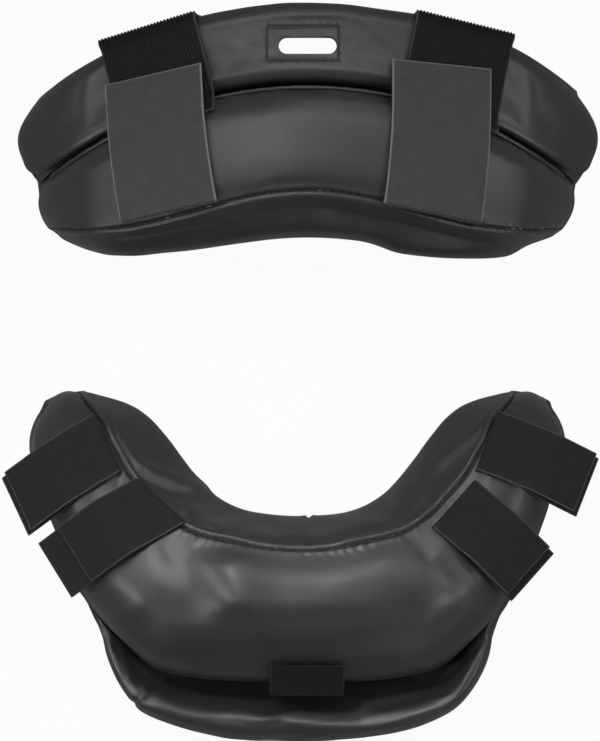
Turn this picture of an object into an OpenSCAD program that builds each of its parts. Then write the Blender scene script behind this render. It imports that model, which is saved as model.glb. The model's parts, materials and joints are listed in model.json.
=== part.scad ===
// Pad set for a sports face mask: an arched forehead pad and a U-shaped chin pad.
// Each pad is foam inside sewn covers, held on the mask's wires by hook-and-loop tapes.
// Both pads lie on their backs, with the mask side up. X runs across, Y from chin to forehead.

/* [Forehead pad] */
// Half width of the forehead pad, at its upper corners
forehead_half_w = 106; // [96:1:116]
// Height of the forehead pad across the middle
forehead_h = 98.7; // [92:0.1:106]
// Thickness of the forehead pad at the lower seam
forehead_thick = 31.5; // [26:0.5:38]
// Thickness of the upper cushion beside the groove
forehead_flap_thick = 19.5; // [15:0.5:22]
// Radius of the arched top edge
forehead_top_r = 170; // [150:1:200]
// How far the middle stands above the table, because the pad wraps the brow
forehead_arch = 32; // [20:1:42]
// Sideways place of the forehead pad's middle
forehead_x = 3; // [0:0.5:6]
// Place of the forehead pad's lowest edge
forehead_y = 45; // [35:1:60]

/* [Harness slot] */
// Length of the slot through the upper cushion
slot_l = 22.7; // [16:0.1:30]
// Width of the slot
slot_w = 6.6; // [5:0.1:8]
// Drop from the top edge to the slot's centre
slot_drop = 16.7; // [13:0.1:20]
// Border of the stiffener plate on each side of the slot
slot_border = 3.2; // [2.5:0.1:4]
// Thickness of the stiffener plate
stiffener_t = 1.2; // [0.8:0.1:1.6]

/* [Chin pad] */
// Half width of the chin pad across its arms
chin_half_w = 105.5; // [96:0.5:115]
// Height of the chin pad from the lip to the tips of the arms
chin_h = 136.2; // [126:0.1:146]
// Height of the seam above the table in the middle of the chin
chin_thick = 42; // [34:1:48]
// Height of the seam at the arms
chin_arm_thick = 29; // [24:1:34]
// How far the front cushion swells above its seam
chin_crown = 8; // [4:0.5:11]
// Thickness of the lip below the front cushion
lip_thick = 19; // [15:0.5:24]
// How far the back of each arm stands above the table halfway along
chin_arch = 3.5; // [0:0.5:8]
// Sideways place of the chin pad's middle
chin_x = -1; // [-4:0.5:2]
// Place of the chin pad's lowest edge
chin_y = -144; // [-160:1:-138]

/* [Covers and foam] */
// Thickness of the sewn covers
cover_t = 1; // [0.8:0.05:1.1]
// Clearance between a cover and its foam
foam_gap = 0.3; // [0.2:0.05:0.35]
// Share of the pad's thickness that is soft foam at the back
soft_share = 0.42; // [0.3:0.01:0.55]

/* [Tapes] */
// Width of the two pairs of forehead tapes
wide_tape_w = 40.6; // [34:0.1:44]
// Length of the forehead loop tapes
loop_tape_l = 54; // [48:1:60]
// Length of the forehead hook tapes in front of the top edge
hook_tape_l = 38; // [34:1:42]
// Width of the chin tapes
narrow_tape_w = 25.6; // [20:0.1:28]
// Length of the chin top tapes
top_tape_l = 39; // [34:1:44]
// Length of the tab on the chin
tab_l = 13; // [10:0.5:15]
// Width of the tab on the chin
tab_w = 29; // [22:0.5:34]
// Thickness of every tape
tape_t = 1.4; // [1:0.1:1.6]
// Radius of the rolled hem that a tape turns on
hem_r = 1.2; // [1:0.05:1.3]
// Clearance under a tape
tape_gap = 0.4; // [0.35:0.05:0.6]

/* [Hidden] */

LEATHER = "#2c2c2d";
LINING = "#202021";
FOAM = "#55585c";
LOOP_TAPE = "#454547";
HOOK_TAPE = "#1b1b1c";
PLASTIC = "#6a6a6c";

foam_inset = cover_t + foam_gap;
thinnest = 2 * cover_t + 0.3;

// ---------- curves and sheets ----------

// Point at u on a smooth curve through the list p, mirrored in X before its first point.
function spline(p, u) =
    let (n = len(p) - 1, i = min(floor(u), n - 1), t = u - i,
         a = i == 0 ? [-p[1].x, p[1].y] : p[i - 1], b = p[i], c = p[i + 1], d = p[min(i + 2, n)])
    0.5 * (2 * b + (c - a) * t + (2 * a - 5 * b + 4 * c - d) * t * t + (3 * b - a - 3 * c + d) * t * t * t);

// Height scale that rounds off an end: 1 up to from, then a quarter ellipse down to 0 at 1.
function end_round(s, from) = s < from ? 1 : sqrt(max(0, 1 - pow((s - from) / (1 - from), 2)));

function smooth(u) = let (t = max(0, min(1, u))) t * t * (3 - 2 * t);

// Section points [r, h] moved inwards by d, along the normal of the section.
function inset_section(p, d) = [for (j = [0:len(p) - 1])
    let (t = p[min(j + 1, len(p) - 1)] - p[max(j - 1, 0)], n = [-t.y, t.x] / norm(t)) p[j] - d * n];

function part_of(list, from, to) = [for (j = [from:to]) list[j]];

// Closed solid between an upper sheet a and a lower sheet b, each a list of rows of points.
module slab(a, b) {
    ni = len(a);
    nj = len(a[0]);
    function up(i, j) = i * nj + j;
    function lo(i, j) = ni * nj + i * nj + j;
    function quad(p, q, r, s) = [[p, q, r], [p, r, s]];
    faces = concat(
        [for (i = [0:ni - 2], j = [0:nj - 2]) each quad(up(i, j), up(i, j + 1), up(i + 1, j + 1),
                                                        up(i + 1, j))],
        [for (i = [0:ni - 2], j = [0:nj - 2]) each quad(lo(i, j), lo(i + 1, j), lo(i + 1, j + 1),
                                                        lo(i, j + 1))],
        [for (i = [0:ni - 2]) each quad(up(i, 0), up(i + 1, 0), lo(i + 1, 0), lo(i, 0))],
        [for (i = [0:ni - 2]) each quad(up(i + 1, nj - 1), up(i, nj - 1), lo(i, nj - 1),
                                        lo(i + 1, nj - 1))],
        [for (j = [0:nj - 2]) each quad(up(0, j + 1), up(0, j), lo(0, j), lo(0, j + 1))],
        [for (j = [0:nj - 2]) each quad(up(ni - 1, j), up(ni - 1, j + 1), lo(ni - 1, j + 1), lo(ni - 1, j))]
    );
    polyhedron(points = [for (row = concat(a, b)) each row], faces = faces);
}

// ---------- forehead pad: surface ----------

forehead_stations = 27;
forehead_s = [for (i = [0:forehead_stations - 1]) sin(90 * (2 * i / (forehead_stations - 1) - 1))];

groove_r = 165;
groove_drop = 32.7;
seam_mid = 17.5;
seam_wave = 7.7;
wall_lift = 5.7;
wall_wave = 62;
right_rise = 2.2;
upper_lobe = 8.5;

function arc_drop(x, r) = r - sqrt(r * r - x * x);

// Plan points of the section at s: bottom edge, lower seam, groove and top edge.
function forehead_rails(s) =
    let (w = forehead_half_w, n = s > 0 ? 0.98 : 1, xb = 0.934 * n * w * s, xm = 0.958 * n * w * s,
         xg = 0.993 * w * s, xt = w * s, ab = abs(xb),
         yb = ab < wall_wave ? wall_lift * (1 + cos(180 * ab / wall_wave)) / 2
                             : pow(ab - wall_wave, 2) / 150,
         ym = seam_mid + seam_wave * cos(180 * xm / 86),
         yg = forehead_h - groove_drop - arc_drop(xg, groove_r),
         yt = forehead_h - arc_drop(xt, forehead_top_r) + right_rise * smooth((s - 0.45) / 0.35))
    [[xb, yb], [xm, ym], [xg, yg], [xt, yt]];

// Distances of the four rails along the section.
function rail_steps(q) =
    let (a = norm(q[1] - q[0]), b = a + norm(q[2] - q[1]), c = b + norm(q[3] - q[2])) [0, a, b, c];

// Height of the pad's back above the table.
function forehead_base(s) = forehead_arch * (sqrt(1 - pow(0.896 * s, 2)) - 0.444) / 0.556;

// Front of the pad at s as [r, h], from the lower back edge over the seam and groove to the top.
function forehead_section(s) =
    let (d = rail_steps(forehead_rails(s)), m = d[1], g = d[2], t = d[3], a = abs(s),
         scale = (1 - 0.22 * a * a) * end_round(a, 0.8), k = forehead_thick * scale,
         f = forehead_flap_thick * scale,
         lower = g - m, flap = t - g,
         p = [[5, 0], [1.5, 0.12 * k], [0, 0.34 * k], [0.22 * m, 0.62 * k], [0.6 * m, 0.86 * k], [m, k],
              [m + 0.1 * lower, 1.06 * k], [m + 0.3 * lower, 1.08 * k], [m + 0.55 * lower, 1.04 * k],
              [m + 0.78 * lower, 0.94 * k], [m + 0.93 * lower, 0.78 * k], [g, 0.6 * f + 0.06 * k],
              [g + 0.06 * flap, 0.94 * f], [g + 0.2 * flap, 1.02 * f], [g + 0.42 * flap, 0.9 * f],
              [g + 0.7 * flap, 0.78 * f], [g + 0.88 * flap, 0.66 * f], [t, 0.38 * f], [t - 1.5, 0.14 * f],
              [t - 5, 0]])
    [for (j = [0:len(p) - 1]) j == 0 || j == len(p) - 1 ? p[j]
        : [p[j].x, p[j].y * (1 - end_floor(a)) + end_floor(a) * end_height(j, len(p))]];

// The last sections keep the height of two covers, rounded over at both edges.
function end_floor(a) = pow(a, 24);
function end_height(j, n) = thinnest * min(1, 0.3 * min(j, n - 1 - j));

LOWER_EDGE = 0;
LOWER_SEAM = 5;
GROOVE = 11;
TOP_RIM = 17;
TOP_EDGE = 19;

// Section point [r, h] at s, in the pad's own frame.
function forehead_point(s, q) =
    let (rails = forehead_rails(s), d = rail_steps(rails), e = pow(abs(s), 9) * sign(s),
         lobe = q.x > d[2] ? upper_lobe * sin(180 * (q.x - d[2]) / (d[3] - d[2])) : 4 * sin(180 * q.x / d[2]),
         x = lookup(q.x, [for (i = [0:3]) [d[i], rails[i].x]]),
         y = lookup(q.x, [for (i = [0:3]) [d[i], rails[i].y]]))
    [forehead_x + x + lobe * e, forehead_y + y, forehead_base(s) + q.y];

// Rows of points on the front, between two places of the section, moved inwards by d.
function forehead_sheet(from, to, d, ss = forehead_s) = [for (s = ss)
    let (p = inset_section(forehead_section(s), d)) [for (q = part_of(p, from, to)) forehead_point(s, q)]];

// Rows of n + 1 points at height h above the back, between two places of the section.
function forehead_floor(from, to, h, edge, n, ss = forehead_s) = [for (s = ss)
    let (p = forehead_section(s), a = max(p[from].x, p[0].x + edge), b = min(p[to].x, p[TOP_EDGE].x - edge))
    [for (j = [0:n]) forehead_point(s, [a + (b - a) * j / n, h])]];

// A share m of the way from the sheet b up to the sheet a, and d higher.
function between(a, b, m, d) = [for (i = [0:len(a) - 1]) [for (j = [0:len(a[i]) - 1])
    b[i][j] * (1 - m) + a[i][j] * m + [0, 0, d]]];

// ---------- forehead pad: pieces ----------

module slot_prism(l, w, z0, z1) {
    translate([forehead_x, forehead_y + forehead_h - slot_drop, z0])
        linear_extrude(z1 - z0)
            hull()
                for (side = [-1, 1])
                    translate([side * (l - w) / 2, 0])
                        circle(d = w, $fn = 32);
}

module slot_cut() {
    slot_prism(slot_l, slot_w, forehead_arch - 10, forehead_arch + forehead_flap_thick + 10);
}

module forehead_lower_cover() {
    color(LEATHER) slab(forehead_sheet(LOWER_SEAM, GROOVE, 0), forehead_sheet(LOWER_SEAM, GROOVE, cover_t));
}

module forehead_wall_cover() {
    color(LEATHER) slab(forehead_sheet(LOWER_EDGE, LOWER_SEAM, 0),
                        forehead_sheet(LOWER_EDGE, LOWER_SEAM, cover_t));
}

module forehead_upper_cover() {
    color(LEATHER) difference() {
        slab(forehead_sheet(GROOVE, TOP_EDGE, 0), forehead_sheet(GROOVE, TOP_EDGE, cover_t));
        slot_cut();
    }
}

module forehead_back_lining() {
    color(LINING) difference() {
        slab(forehead_floor(LOWER_EDGE, TOP_EDGE, cover_t, foam_inset, 5),
             forehead_floor(LOWER_EDGE, TOP_EDGE, 0, foam_inset, 5));
        slot_cut();
    }
}

foam_s = part_of(forehead_s, 2, forehead_stations - 3);
foam_edge = 1.5 + cover_t;

stiffener_z = forehead_point(0, inset_section(forehead_section(0), foam_inset)[15]).z
    - stiffener_t - 2 * foam_gap;

module stiffener_blank(grow) {
    l = slot_l + 2 * slot_border + grow;
    w = slot_w + 2 * slot_border + grow;
    translate([forehead_x - l / 2, forehead_y + forehead_h - slot_drop - w / 2, stiffener_z - grow / 2])
        cube([l, w, stiffener_t + (grow > 0 ? forehead_flap_thick : 0)]);
}

module slot_stiffener() {
    color(PLASTIC) difference() {
        stiffener_blank(0);
        slot_cut();
    }
}

module forehead_upper_foam() {
    color(FOAM) difference() {
        slab(forehead_sheet(GROOVE + 1, TOP_EDGE - 1, foam_inset, foam_s),
             forehead_floor(GROOVE + 1, TOP_EDGE - 1, foam_inset, foam_edge, TOP_EDGE - GROOVE - 2,
                            foam_s));
        slot_cut();
        stiffener_blank(2 * foam_gap);
    }
}

lower_front = forehead_sheet(LOWER_EDGE + 1, GROOVE - 1, foam_inset, foam_s);
lower_back = forehead_floor(LOWER_EDGE + 1, GROOVE - 1, foam_inset, foam_edge, GROOVE - LOWER_EDGE - 2,
                            foam_s);

module forehead_impact_foam() {
    color(FOAM) slab(lower_front, between(lower_front, lower_back, soft_share, foam_gap / 2));
}

module forehead_comfort_foam() {
    color(FOAM) slab(between(lower_front, lower_back, soft_share, -foam_gap / 2), lower_back);
}

// ---------- chin pad: surface ----------

chin_steps = 14;
chin_k = [for (i = [-chin_steps:chin_steps])
    let (t = abs(i) / chin_steps) -sign(i) * 9 * (1 - pow(1 - t, 1.25))];

// Half outlines from the middle of the chin to the tip of an arm, at the nominal size.
outline_w = 105.5;
outline_h = 136.2;
inner_edge = [[0, 87.4], [12, 88.2], [23, 90.8], [32.5, 96], [39.5, 102.5], [45.5, 110], [51, 118],
              [58.5, 126.5], [68, 132], [84, 136.2]];
front_seam = [[0, 74.4], [14, 75.1], [28, 77.7], [41, 81], [51, 87], [59, 95], [66.5, 104],
              [73, 115], [77.5, 124.5], [85.5, 133]];
front_edge = [[0, 20.8], [20, 20.7], [39.5, 22], [56, 26], [68.5, 36.5], [77.5, 47], [88, 65.5],
              [98.5, 94], [104, 115], [98.5, 131.5]];
outer_edge = [[0, 0], [22, 0.8], [43, 4.4], [62, 13], [73.5, 29], [79.5, 45], [89.5, 64.5],
              [100, 93.5], [105.5, 115], [99.5, 132]];

// Plan points of the section at k: inner edge, seam, front cushion's edge and outer edge.
function chin_rails(k) = [for (p = [inner_edge, front_seam, front_edge, outer_edge])
    let (q = spline(p, abs(k))) [q.x * chin_half_w / outline_w * (k < 0 ? -1 : 1),
                                 q.y * chin_h / outline_h]];

// Height of the pad's back above the table, between the chin and the tips of the arms.
function chin_base(k) = chin_arch * pow(sin(20 * k), 2);

// How much of a lip stands out below the front cushion, from 0 to 1.
function lip_share(d) = smooth((d[3] - d[2] - 2) / 14);

// Front of the pad at k as [r, h], from the inner back edge over the seam, front and crease to the lip.
function chin_section(k) =
    let (d = rail_steps(chin_rails(k)), s = d[1], f = d[2], l = d[3], a = abs(k) / 9,
         round = end_round(a, 0.76), hs = (chin_thick + (chin_arm_thick - chin_thick) * smooth(a / 0.75)) * round,
         crown = chin_crown * (1 - 0.45 * smooth(a / 0.6)) * round, w = f - s, lip = lip_share(d),
         top = hs + crown, e = lip_thick * round, v = l - f,
         full = [[f, 0.5 * hs], [f - 2.5, 0.72 * e], [f + 0.22 * v, 0.82 * e], [f + 0.55 * v, e],
                 [f + 0.85 * v, 0.82 * e], [l, 0.42 * e], [l - 1.5, 0.13 * e]],
         flat = [[f - 0.6, 0.5 * hs], [f - 0.2, 0.42 * hs], [f + 0.2 * v, 0.35 * hs],
                 [f + 0.55 * v, 0.28 * hs],
                 [f + 0.85 * v, 0.21 * hs], [l, 0.14 * hs], [l - 1.2, 0.06 * hs]],
         p = concat([[4, 0], [1, 0.08 * hs], [0, 0.22 * hs], [0.3 * s, 0.5 * hs], [0.66 * s, 0.8 * hs],
                     [s, hs], [s + 0.07 * w, hs + 0.4 * crown],
                     [s + 0.22 * w, hs + 0.85 * crown], [s + 0.42 * w, top],
                     [s + 0.62 * w, hs + 0.7 * crown], [s + 0.8 * w, 0.95 * hs], [s + 0.93 * w, 0.76 * hs]],
                    [for (j = [0:6]) full[j] * lip + flat[j] * (1 - lip)], [[l - 5, 0]]))
    [for (j = [0:len(p) - 1]) j == 0 || j == len(p) - 1 ? p[j]
        : [p[j].x, p[j].y * (1 - end_floor(a)) + end_floor(a) * end_height(j, len(p))]];

INNER_EDGE = 0;
CHIN_SEAM = 5;
FRONT_EDGE = 12;
CREASE = 13;
LIP_EDGE = 19;

function chin_point(k, q) =
    let (rails = chin_rails(k), d = rail_steps(rails),
         tip = pow(abs(k) / 9, 30) * 2.2 * sin(180 * q.x / d[3]),
         x = lookup(q.x, [for (i = [0:3]) [d[i], rails[i].x]]),
         y = lookup(q.x, [for (i = [0:3]) [d[i], rails[i].y]]))
    [chin_x + x, chin_y + y + tip, chin_base(k) + q.y];

function chin_sheet(from, to, d, ks = chin_k) = [for (k = ks)
    let (p = inset_section(chin_section(k), d)) [for (q = part_of(p, from, to)) chin_point(k, q)]];

function chin_floor(from, to, h, edge, n, ks = chin_k) = [for (k = ks)
    let (p = chin_section(k), a = max(p[from].x, p[0].x + edge), b = min(p[to].x, p[LIP_EDGE].x - edge))
    [for (j = [0:n]) chin_point(k, [a + (b - a) * j / n, h])]];

// ---------- chin pad: pieces ----------

module chin_cover(from, to, ks = chin_k) {
    color(LEATHER) slab(chin_sheet(from, to, 0, ks), chin_sheet(from, to, cover_t, ks));
}

module chin_front_cover() {
    chin_cover(CHIN_SEAM, CREASE);
}

module chin_left_inner_band() {
    chin_cover(INNER_EDGE, CHIN_SEAM, part_of(chin_k, chin_steps, 2 * chin_steps));
}

module chin_right_inner_band() {
    chin_cover(INNER_EDGE, CHIN_SEAM, part_of(chin_k, 0, chin_steps));
}

module chin_lip_cover() {
    chin_cover(CREASE, LIP_EDGE);
}

module chin_back_lining() {
    color(LINING)
        slab(chin_floor(INNER_EDGE, LIP_EDGE, cover_t, foam_inset, 5),
             chin_floor(INNER_EDGE, LIP_EDGE, 0, foam_inset, 5));
}

foam_k = part_of(chin_k, 2, 2 * chin_steps - 2);
chin_front = chin_sheet(INNER_EDGE + 1, LIP_EDGE - 1, foam_inset, foam_k);
chin_back = chin_floor(INNER_EDGE + 1, LIP_EDGE - 1, foam_inset, foam_edge, LIP_EDGE - INNER_EDGE - 2,
                       foam_k);

// Height of the joint between the two foams, just above the crease.
function foam_split(k) =
    let (hs = chin_section(k)[CHIN_SEAM].y, lip = lip_share(rail_steps(chin_rails(k))))
    (0.36 * hs) * lip + (0.33 * hs) * (1 - lip);

FRONT_FOAM_FROM = 3;
FRONT_FOAM_TO = 12;

// Rows level with the joint between the foams, under the front cushion.
function split_sheet(d) = [for (k = foam_k)
    let (p = inset_section(chin_section(k), foam_inset), n = FRONT_FOAM_TO - FRONT_FOAM_FROM,
         first = p[FRONT_FOAM_FROM].x + 0.4, last = min(p[FRONT_FOAM_TO].x, p[FRONT_FOAM_TO + 1].x) - 0.6)
    [for (j = [0:n]) chin_point(k, [first + (last - first) * j / n, foam_split(k) + d])]];

module chin_impact_foam() {
    color(FOAM) slab(chin_sheet(FRONT_FOAM_FROM, FRONT_FOAM_TO, foam_inset, foam_k),
                     split_sheet(foam_gap / 2));
}

module chin_comfort_foam() {
    split = split_sheet(-foam_gap / 2);
    lead = FRONT_FOAM_FROM - 1;
    top = [for (i = [0:len(chin_front) - 1])
        concat(part_of(chin_front[i], 0, lead - 1), split[i],
               part_of(chin_front[i], FRONT_FOAM_TO, LIP_EDGE - 2))];
    color(FOAM) slab(top, chin_back);
}

// ---------- tapes ----------

// Frame of a tape whose hem runs from a to b: its place, the three directions, heading and tilt.
function hem_frame(a, b, turn, lift) =
    let (v = b - a, h = atan2(v.y, v.x) + turn, tilt = atan2(v.z, norm([v.x, v.y])),
         x = [cos(h) * cos(tilt), sin(h) * cos(tilt), sin(tilt)], y = [-sin(h), cos(h), 0])
    [(a + b) / 2 + [0, 0, lift], x, y, cross(x, y), h, tilt];

// The same frame moved by d along the tape and z off it.
function moved(frame, d, z) = concat([frame[0] + d * frame[2] + z * frame[3]], part_of(frame, 1, 5));

// Highest point of what lies under a tape, about d from its hem.
function rise_at(frame, rows, w, lean, d, window) =
    max([-99, for (row = rows, p = row)
        let (v = p - frame[0], x = v * frame[1] - d * tan(lean))
        if (abs(x) < w / 2 + 2 && abs(v * frame[2] - d) < window) v * frame[3]]);

// Rows of points with more points on the straight lines between them, along the rows and across.
function dense(rows) =
    let (more = [for (row = rows)
                    [for (j = [0:len(row) - 2], m = [0, 0.25, 0.5, 0.75]) row[j] * (1 - m) + row[j + 1] * m]])
    [for (i = [0:len(more) - 2], m = [0, 0.33, 0.67]) [for (j = [0:len(more[i]) - 1])
        more[i][j] * (1 - m) + more[i + 1][j] * m]];

// A frame raised until its hem clears what lies under it.
function seated(frame, rows, w, lift) = moved(frame, 0, rise_at(frame, rows, w, 0, 0, 2.5) + lift);

// Path of a tape from d = from to its end: lift above what is under it, dropping no faster than drop.
function resting_path(frame, rows, w, lean, from, length, steps, lift, drop) =
    let (step = (length - from) / steps, ds = [for (i = [0:steps]) from + i * step],
         rise = [for (d = ds) rise_at(frame, rows, w, lean, d, step * 0.6 + 0.5) + lift])
    [for (d = ds) [d, max([for (i = [0:steps]) rise[i] - drop * abs(d - ds[i])])]];

// Rows of points on top of a tape, so that another one can lie on it.
function tape_top(frame, path, w, lean) = dense([for (i = [0:len(path) - 1]) let (q = path[i])
    [for (side = [-0.5, -0.17, 0.17, 0.5])
        frame[0] + (side * w + q.x * tan(lean)) * frame[1] + q.x * frame[2]
        + (q.y + (i == 0 ? hem_r : tape_t / 2)) * frame[3]]]);

// Side view of a tape along its path.
module tape_side(path) {
    n = len(path) - 1;
    function across(i) = let (t = path[min(i + 1, n)] - path[max(i - 1, 0)])
        [-t.y, t.x] / norm(t) * tape_t / 2;
    polygon(concat([for (i = [0:n]) path[i] + across(i)], [for (i = [n:-1:0]) path[i] - across(i)]));
}

// Tape w wide in its frame, with its rolled hem: its sides lean, and its end is turned by skew.
module tape(frame, path, w, lean, skew = 0) {
    e = w / cos(lean) / 2;
    reach = path[len(path) - 1].x + (skew == 0 ? 8 : -e * abs(tan(skew)));
    slip = reach * tan(lean);
    translate(frame[0]) rotate([0, -frame[5], frame[4]]) {
        intersection() {
            rotate([90, 0, 90]) translate([0, 0, -2 * w]) linear_extrude(4 * w) tape_side(path);
            translate([0, 0, -50]) linear_extrude(100)
                polygon([[-e, -8], [e, -8], [e, 0], [e + slip + e * tan(skew) * tan(lean),
                                                     reach + e * tan(skew)],
                         [-e + slip - e * tan(skew) * tan(lean), reach - e * tan(skew)], [-e, 0]]);
        }
        rotate([0, 90, 0]) cylinder(r = hem_r, h = 2 * e, center = true, $fn = 32);
    }
}

hem_lift = hem_r + tape_gap;
tape_lift = tape_t / 2 + tape_gap + 0.1;

// ---------- forehead tapes ----------

forehead_front = dense(forehead_sheet(LOWER_SEAM - 1, TOP_RIM, 0,
                                      part_of(forehead_s, 6, forehead_stations - 7)));

// A place on the forehead pad's front at s, a share m of the way from one section point to the next.
function on_forehead(s, j, m) =
    let (p = forehead_section(s)) forehead_point(s, p[j] * (1 - m) + p[j + 1] * m);

// Sides are -1 on the left and 1 on the right. A hook tape runs down the front from the top edge.
HOOK_LEAN = -1.5;
HOOK_TURN = 4;

function hook_place(side) = side < 0 ? 0.567 : 0.5575;
function hook_reach(side) = side < 0 ? 2.6 : 2.7;

function hook_frame(side) =
    moved(hem_frame(on_forehead(side * hook_place(side) + 0.15, TOP_RIM, 0),
                    on_forehead(side * hook_place(side) - 0.15, TOP_RIM, 0), side * HOOK_TURN, 0),
          -hook_reach(side), -1);

function hook_path(side) = concat([[0, 0], [-0.9, 3.5], [-0.6, 7], [1.2, 9.8]],
    resting_path(hook_frame(side), forehead_front, wide_tape_w, -side * HOOK_LEAN, 4.5, hook_tape_l, 6,
                 tape_lift, 1.2));

module forehead_hook_tape(side) {
    color(HOOK_TAPE) tape(hook_frame(side), hook_path(side), wide_tape_w, -side * HOOK_LEAN);
}

module forehead_left_hook_tape() {
    forehead_hook_tape(-1);
}

module forehead_right_hook_tape() {
    forehead_hook_tape(1);
}

// A loop tape is sewn above the lower seam and lies over the hook tape.

function loop_lean(side) = side < 0 ? 1.4 : -4;
function loop_place(side) = side < 0 ? -0.524 : 0.4805;
function loop_seam(side) = side < 0 ? 0.5 : 0.05;
function loop_skew(side) = side < 0 ? 0 : 6;

function loop_frame(side) =
    seated(hem_frame(on_forehead(loop_place(side) - 0.15, LOWER_SEAM, loop_seam(side)),
                     on_forehead(loop_place(side) + 0.15, LOWER_SEAM, loop_seam(side)),
                     side < 0 ? -1.5 : 3, 0), forehead_front, wide_tape_w, hem_lift);

function loop_path(side) = concat([[0, 0]],
    resting_path(loop_frame(side),
                 concat(forehead_front,
                        tape_top(hook_frame(side), hook_path(side), wide_tape_w, -side * HOOK_LEAN)),
                 wide_tape_w, loop_lean(side), 5, loop_tape_l + (side < 0 ? 0 : 4), 8,
                 tape_lift + 1.3, 0.45));

module forehead_loop_tape(side) {
    color(LOOP_TAPE) tape(loop_frame(side), loop_path(side), wide_tape_w, loop_lean(side), loop_skew(side));
}

module forehead_left_loop_tape() {
    forehead_loop_tape(-1);
}

module forehead_right_loop_tape() {
    forehead_loop_tape(1);
}

// ---------- chin tapes ----------

chin_surface = dense(chin_sheet(CHIN_SEAM - 2, LIP_EDGE, 0));

function on_chin(k, j, m) = let (p = chin_section(k)) chin_point(k, p[j] * (1 - m) + p[j + 1] * m);

// Each pair of chin tapes: place along the seam, step off it, turn, lean, skew, top length, under start
// and end.
LEFT_UPPER = [-7.1, 0, 0, -7, 0, 41.5, 20, 43.5];
LEFT_LOWER = [-4.6, -4.2, 4, 15, -14, 38.3, 20, 48.2];
RIGHT_UPPER = [7.15, 0, 3, 0, 0, 41.5, 20, 43];
RIGHT_LOWER = [4.95, 2.5, 0, -1, 0, 39, 19, 42];

function top_frame(pair) = let (k = pair[0])
    seated(moved(hem_frame(on_chin(k + 0.25, CHIN_SEAM, 0.5), on_chin(k - 0.25, CHIN_SEAM, 0.5),
                           pair[2], 0), pair[1], 0),
           chin_surface, narrow_tape_w, hem_lift);

function under_frame(pair) =
    let (f = top_frame(pair), d = pair[6], z = rise_at(f, chin_surface, narrow_tape_w, pair[3], d, 5))
    concat([f[0] + d * f[2] + d * tan(pair[3]) * f[1] + (z + hem_lift) * f[3]], part_of(f, 1, 5));

function under_path(pair) = let (f = under_frame(pair)) concat([[0, 0]],
    resting_path(f, chin_surface, narrow_tape_w, pair[3], 4, pair[7] - pair[6], 5, tape_lift, 0.3));

function top_path(pair) = let (f = top_frame(pair)) concat([[0, 0]],
    resting_path(f, concat(chin_surface, tape_top(under_frame(pair), under_path(pair), narrow_tape_w,
                                                  pair[3])),
                 narrow_tape_w, pair[3], 4, pair[5] * top_tape_l / 39, 8, tape_lift + 0.3, 0.3));

module chin_top_tape(pair) {
    color(HOOK_TAPE) tape(top_frame(pair), top_path(pair), narrow_tape_w, pair[3], pair[4]);
}

module chin_under_tape(pair) {
    color(HOOK_TAPE) tape(under_frame(pair), under_path(pair), narrow_tape_w, pair[3], pair[4]);
}

module chin_left_upper_top_tape() {
    chin_top_tape(LEFT_UPPER);
}

module chin_left_upper_under_tape() {
    chin_under_tape(LEFT_UPPER);
}

module chin_left_lower_top_tape() {
    chin_top_tape(LEFT_LOWER);
}

module chin_left_lower_under_tape() {
    chin_under_tape(LEFT_LOWER);
}

module chin_right_upper_top_tape() {
    chin_top_tape(RIGHT_UPPER);
}

module chin_right_upper_under_tape() {
    chin_under_tape(RIGHT_UPPER);
}

module chin_right_lower_top_tape() {
    chin_top_tape(RIGHT_LOWER);
}

module chin_right_lower_under_tape() {
    chin_under_tape(RIGHT_LOWER);
}

// The keeper stands up from the crease, and the flap hangs over it from the front cushion.
TAB_K = 0.2;

keeper_frame = seated(hem_frame(on_chin(TAB_K - 0.2, CREASE, 0.8), on_chin(TAB_K + 0.2, CREASE, 0.8), 0, 0),
                      chin_surface, tab_w, hem_lift);
keeper_path = [[0, 0], [0.9, 5], [3, 10.5], [4.9, 14.5]];

flap_frame = seated(hem_frame(on_chin(TAB_K + 0.2, CHIN_SEAM + 5, 0.4), on_chin(TAB_K - 0.2, CHIN_SEAM + 5, 0.4),
                              0, 0),
                    chin_surface, tab_w, hem_lift);
flap_path = [[0, 0], [2.5, 0], [5.6, -1.4], [8.6, -4.4], [10.9, -9.6], [tab_l - 1.2, -16]];

module chin_tab_flap() {
    color(HOOK_TAPE) tape(flap_frame, flap_path, tab_w, 0);
}

module chin_tab_keeper() {
    color(HOOK_TAPE) tape(keeper_frame, keeper_path, tab_w - 2, 0);
}

// ---------- the model ----------

forehead_upper_cover();
forehead_lower_cover();
forehead_wall_cover();
forehead_back_lining();
forehead_upper_foam();
forehead_impact_foam();
forehead_comfort_foam();
slot_stiffener();
forehead_left_loop_tape();
forehead_left_hook_tape();
forehead_right_loop_tape();
forehead_right_hook_tape();
chin_front_cover();
chin_left_inner_band();
chin_right_inner_band();
chin_lip_cover();
chin_back_lining();
chin_impact_foam();
chin_comfort_foam();
chin_left_upper_top_tape();
chin_left_upper_under_tape();
chin_left_lower_top_tape();
chin_left_lower_under_tape();
chin_right_upper_top_tape();
chin_right_upper_under_tape();
chin_right_lower_top_tape();
chin_right_lower_under_tape();
chin_tab_flap();
chin_tab_keeper();
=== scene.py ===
"""Looks of a face mask pad set: a forehead pad and a chin pad of foam in synthetic leather, with hook-and-loop tapes.

Lengths in the classes are millimetres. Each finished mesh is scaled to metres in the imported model's own frame.
"""

from __future__ import annotations

import json
import logging
import math
from collections.abc import Callable, Sequence
from dataclasses import dataclass, field
from enum import Enum

import bmesh
import bpy
import numpy as np
from mathutils import Matrix, Vector, noise
from mathutils.bvhtree import BVHTree

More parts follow.
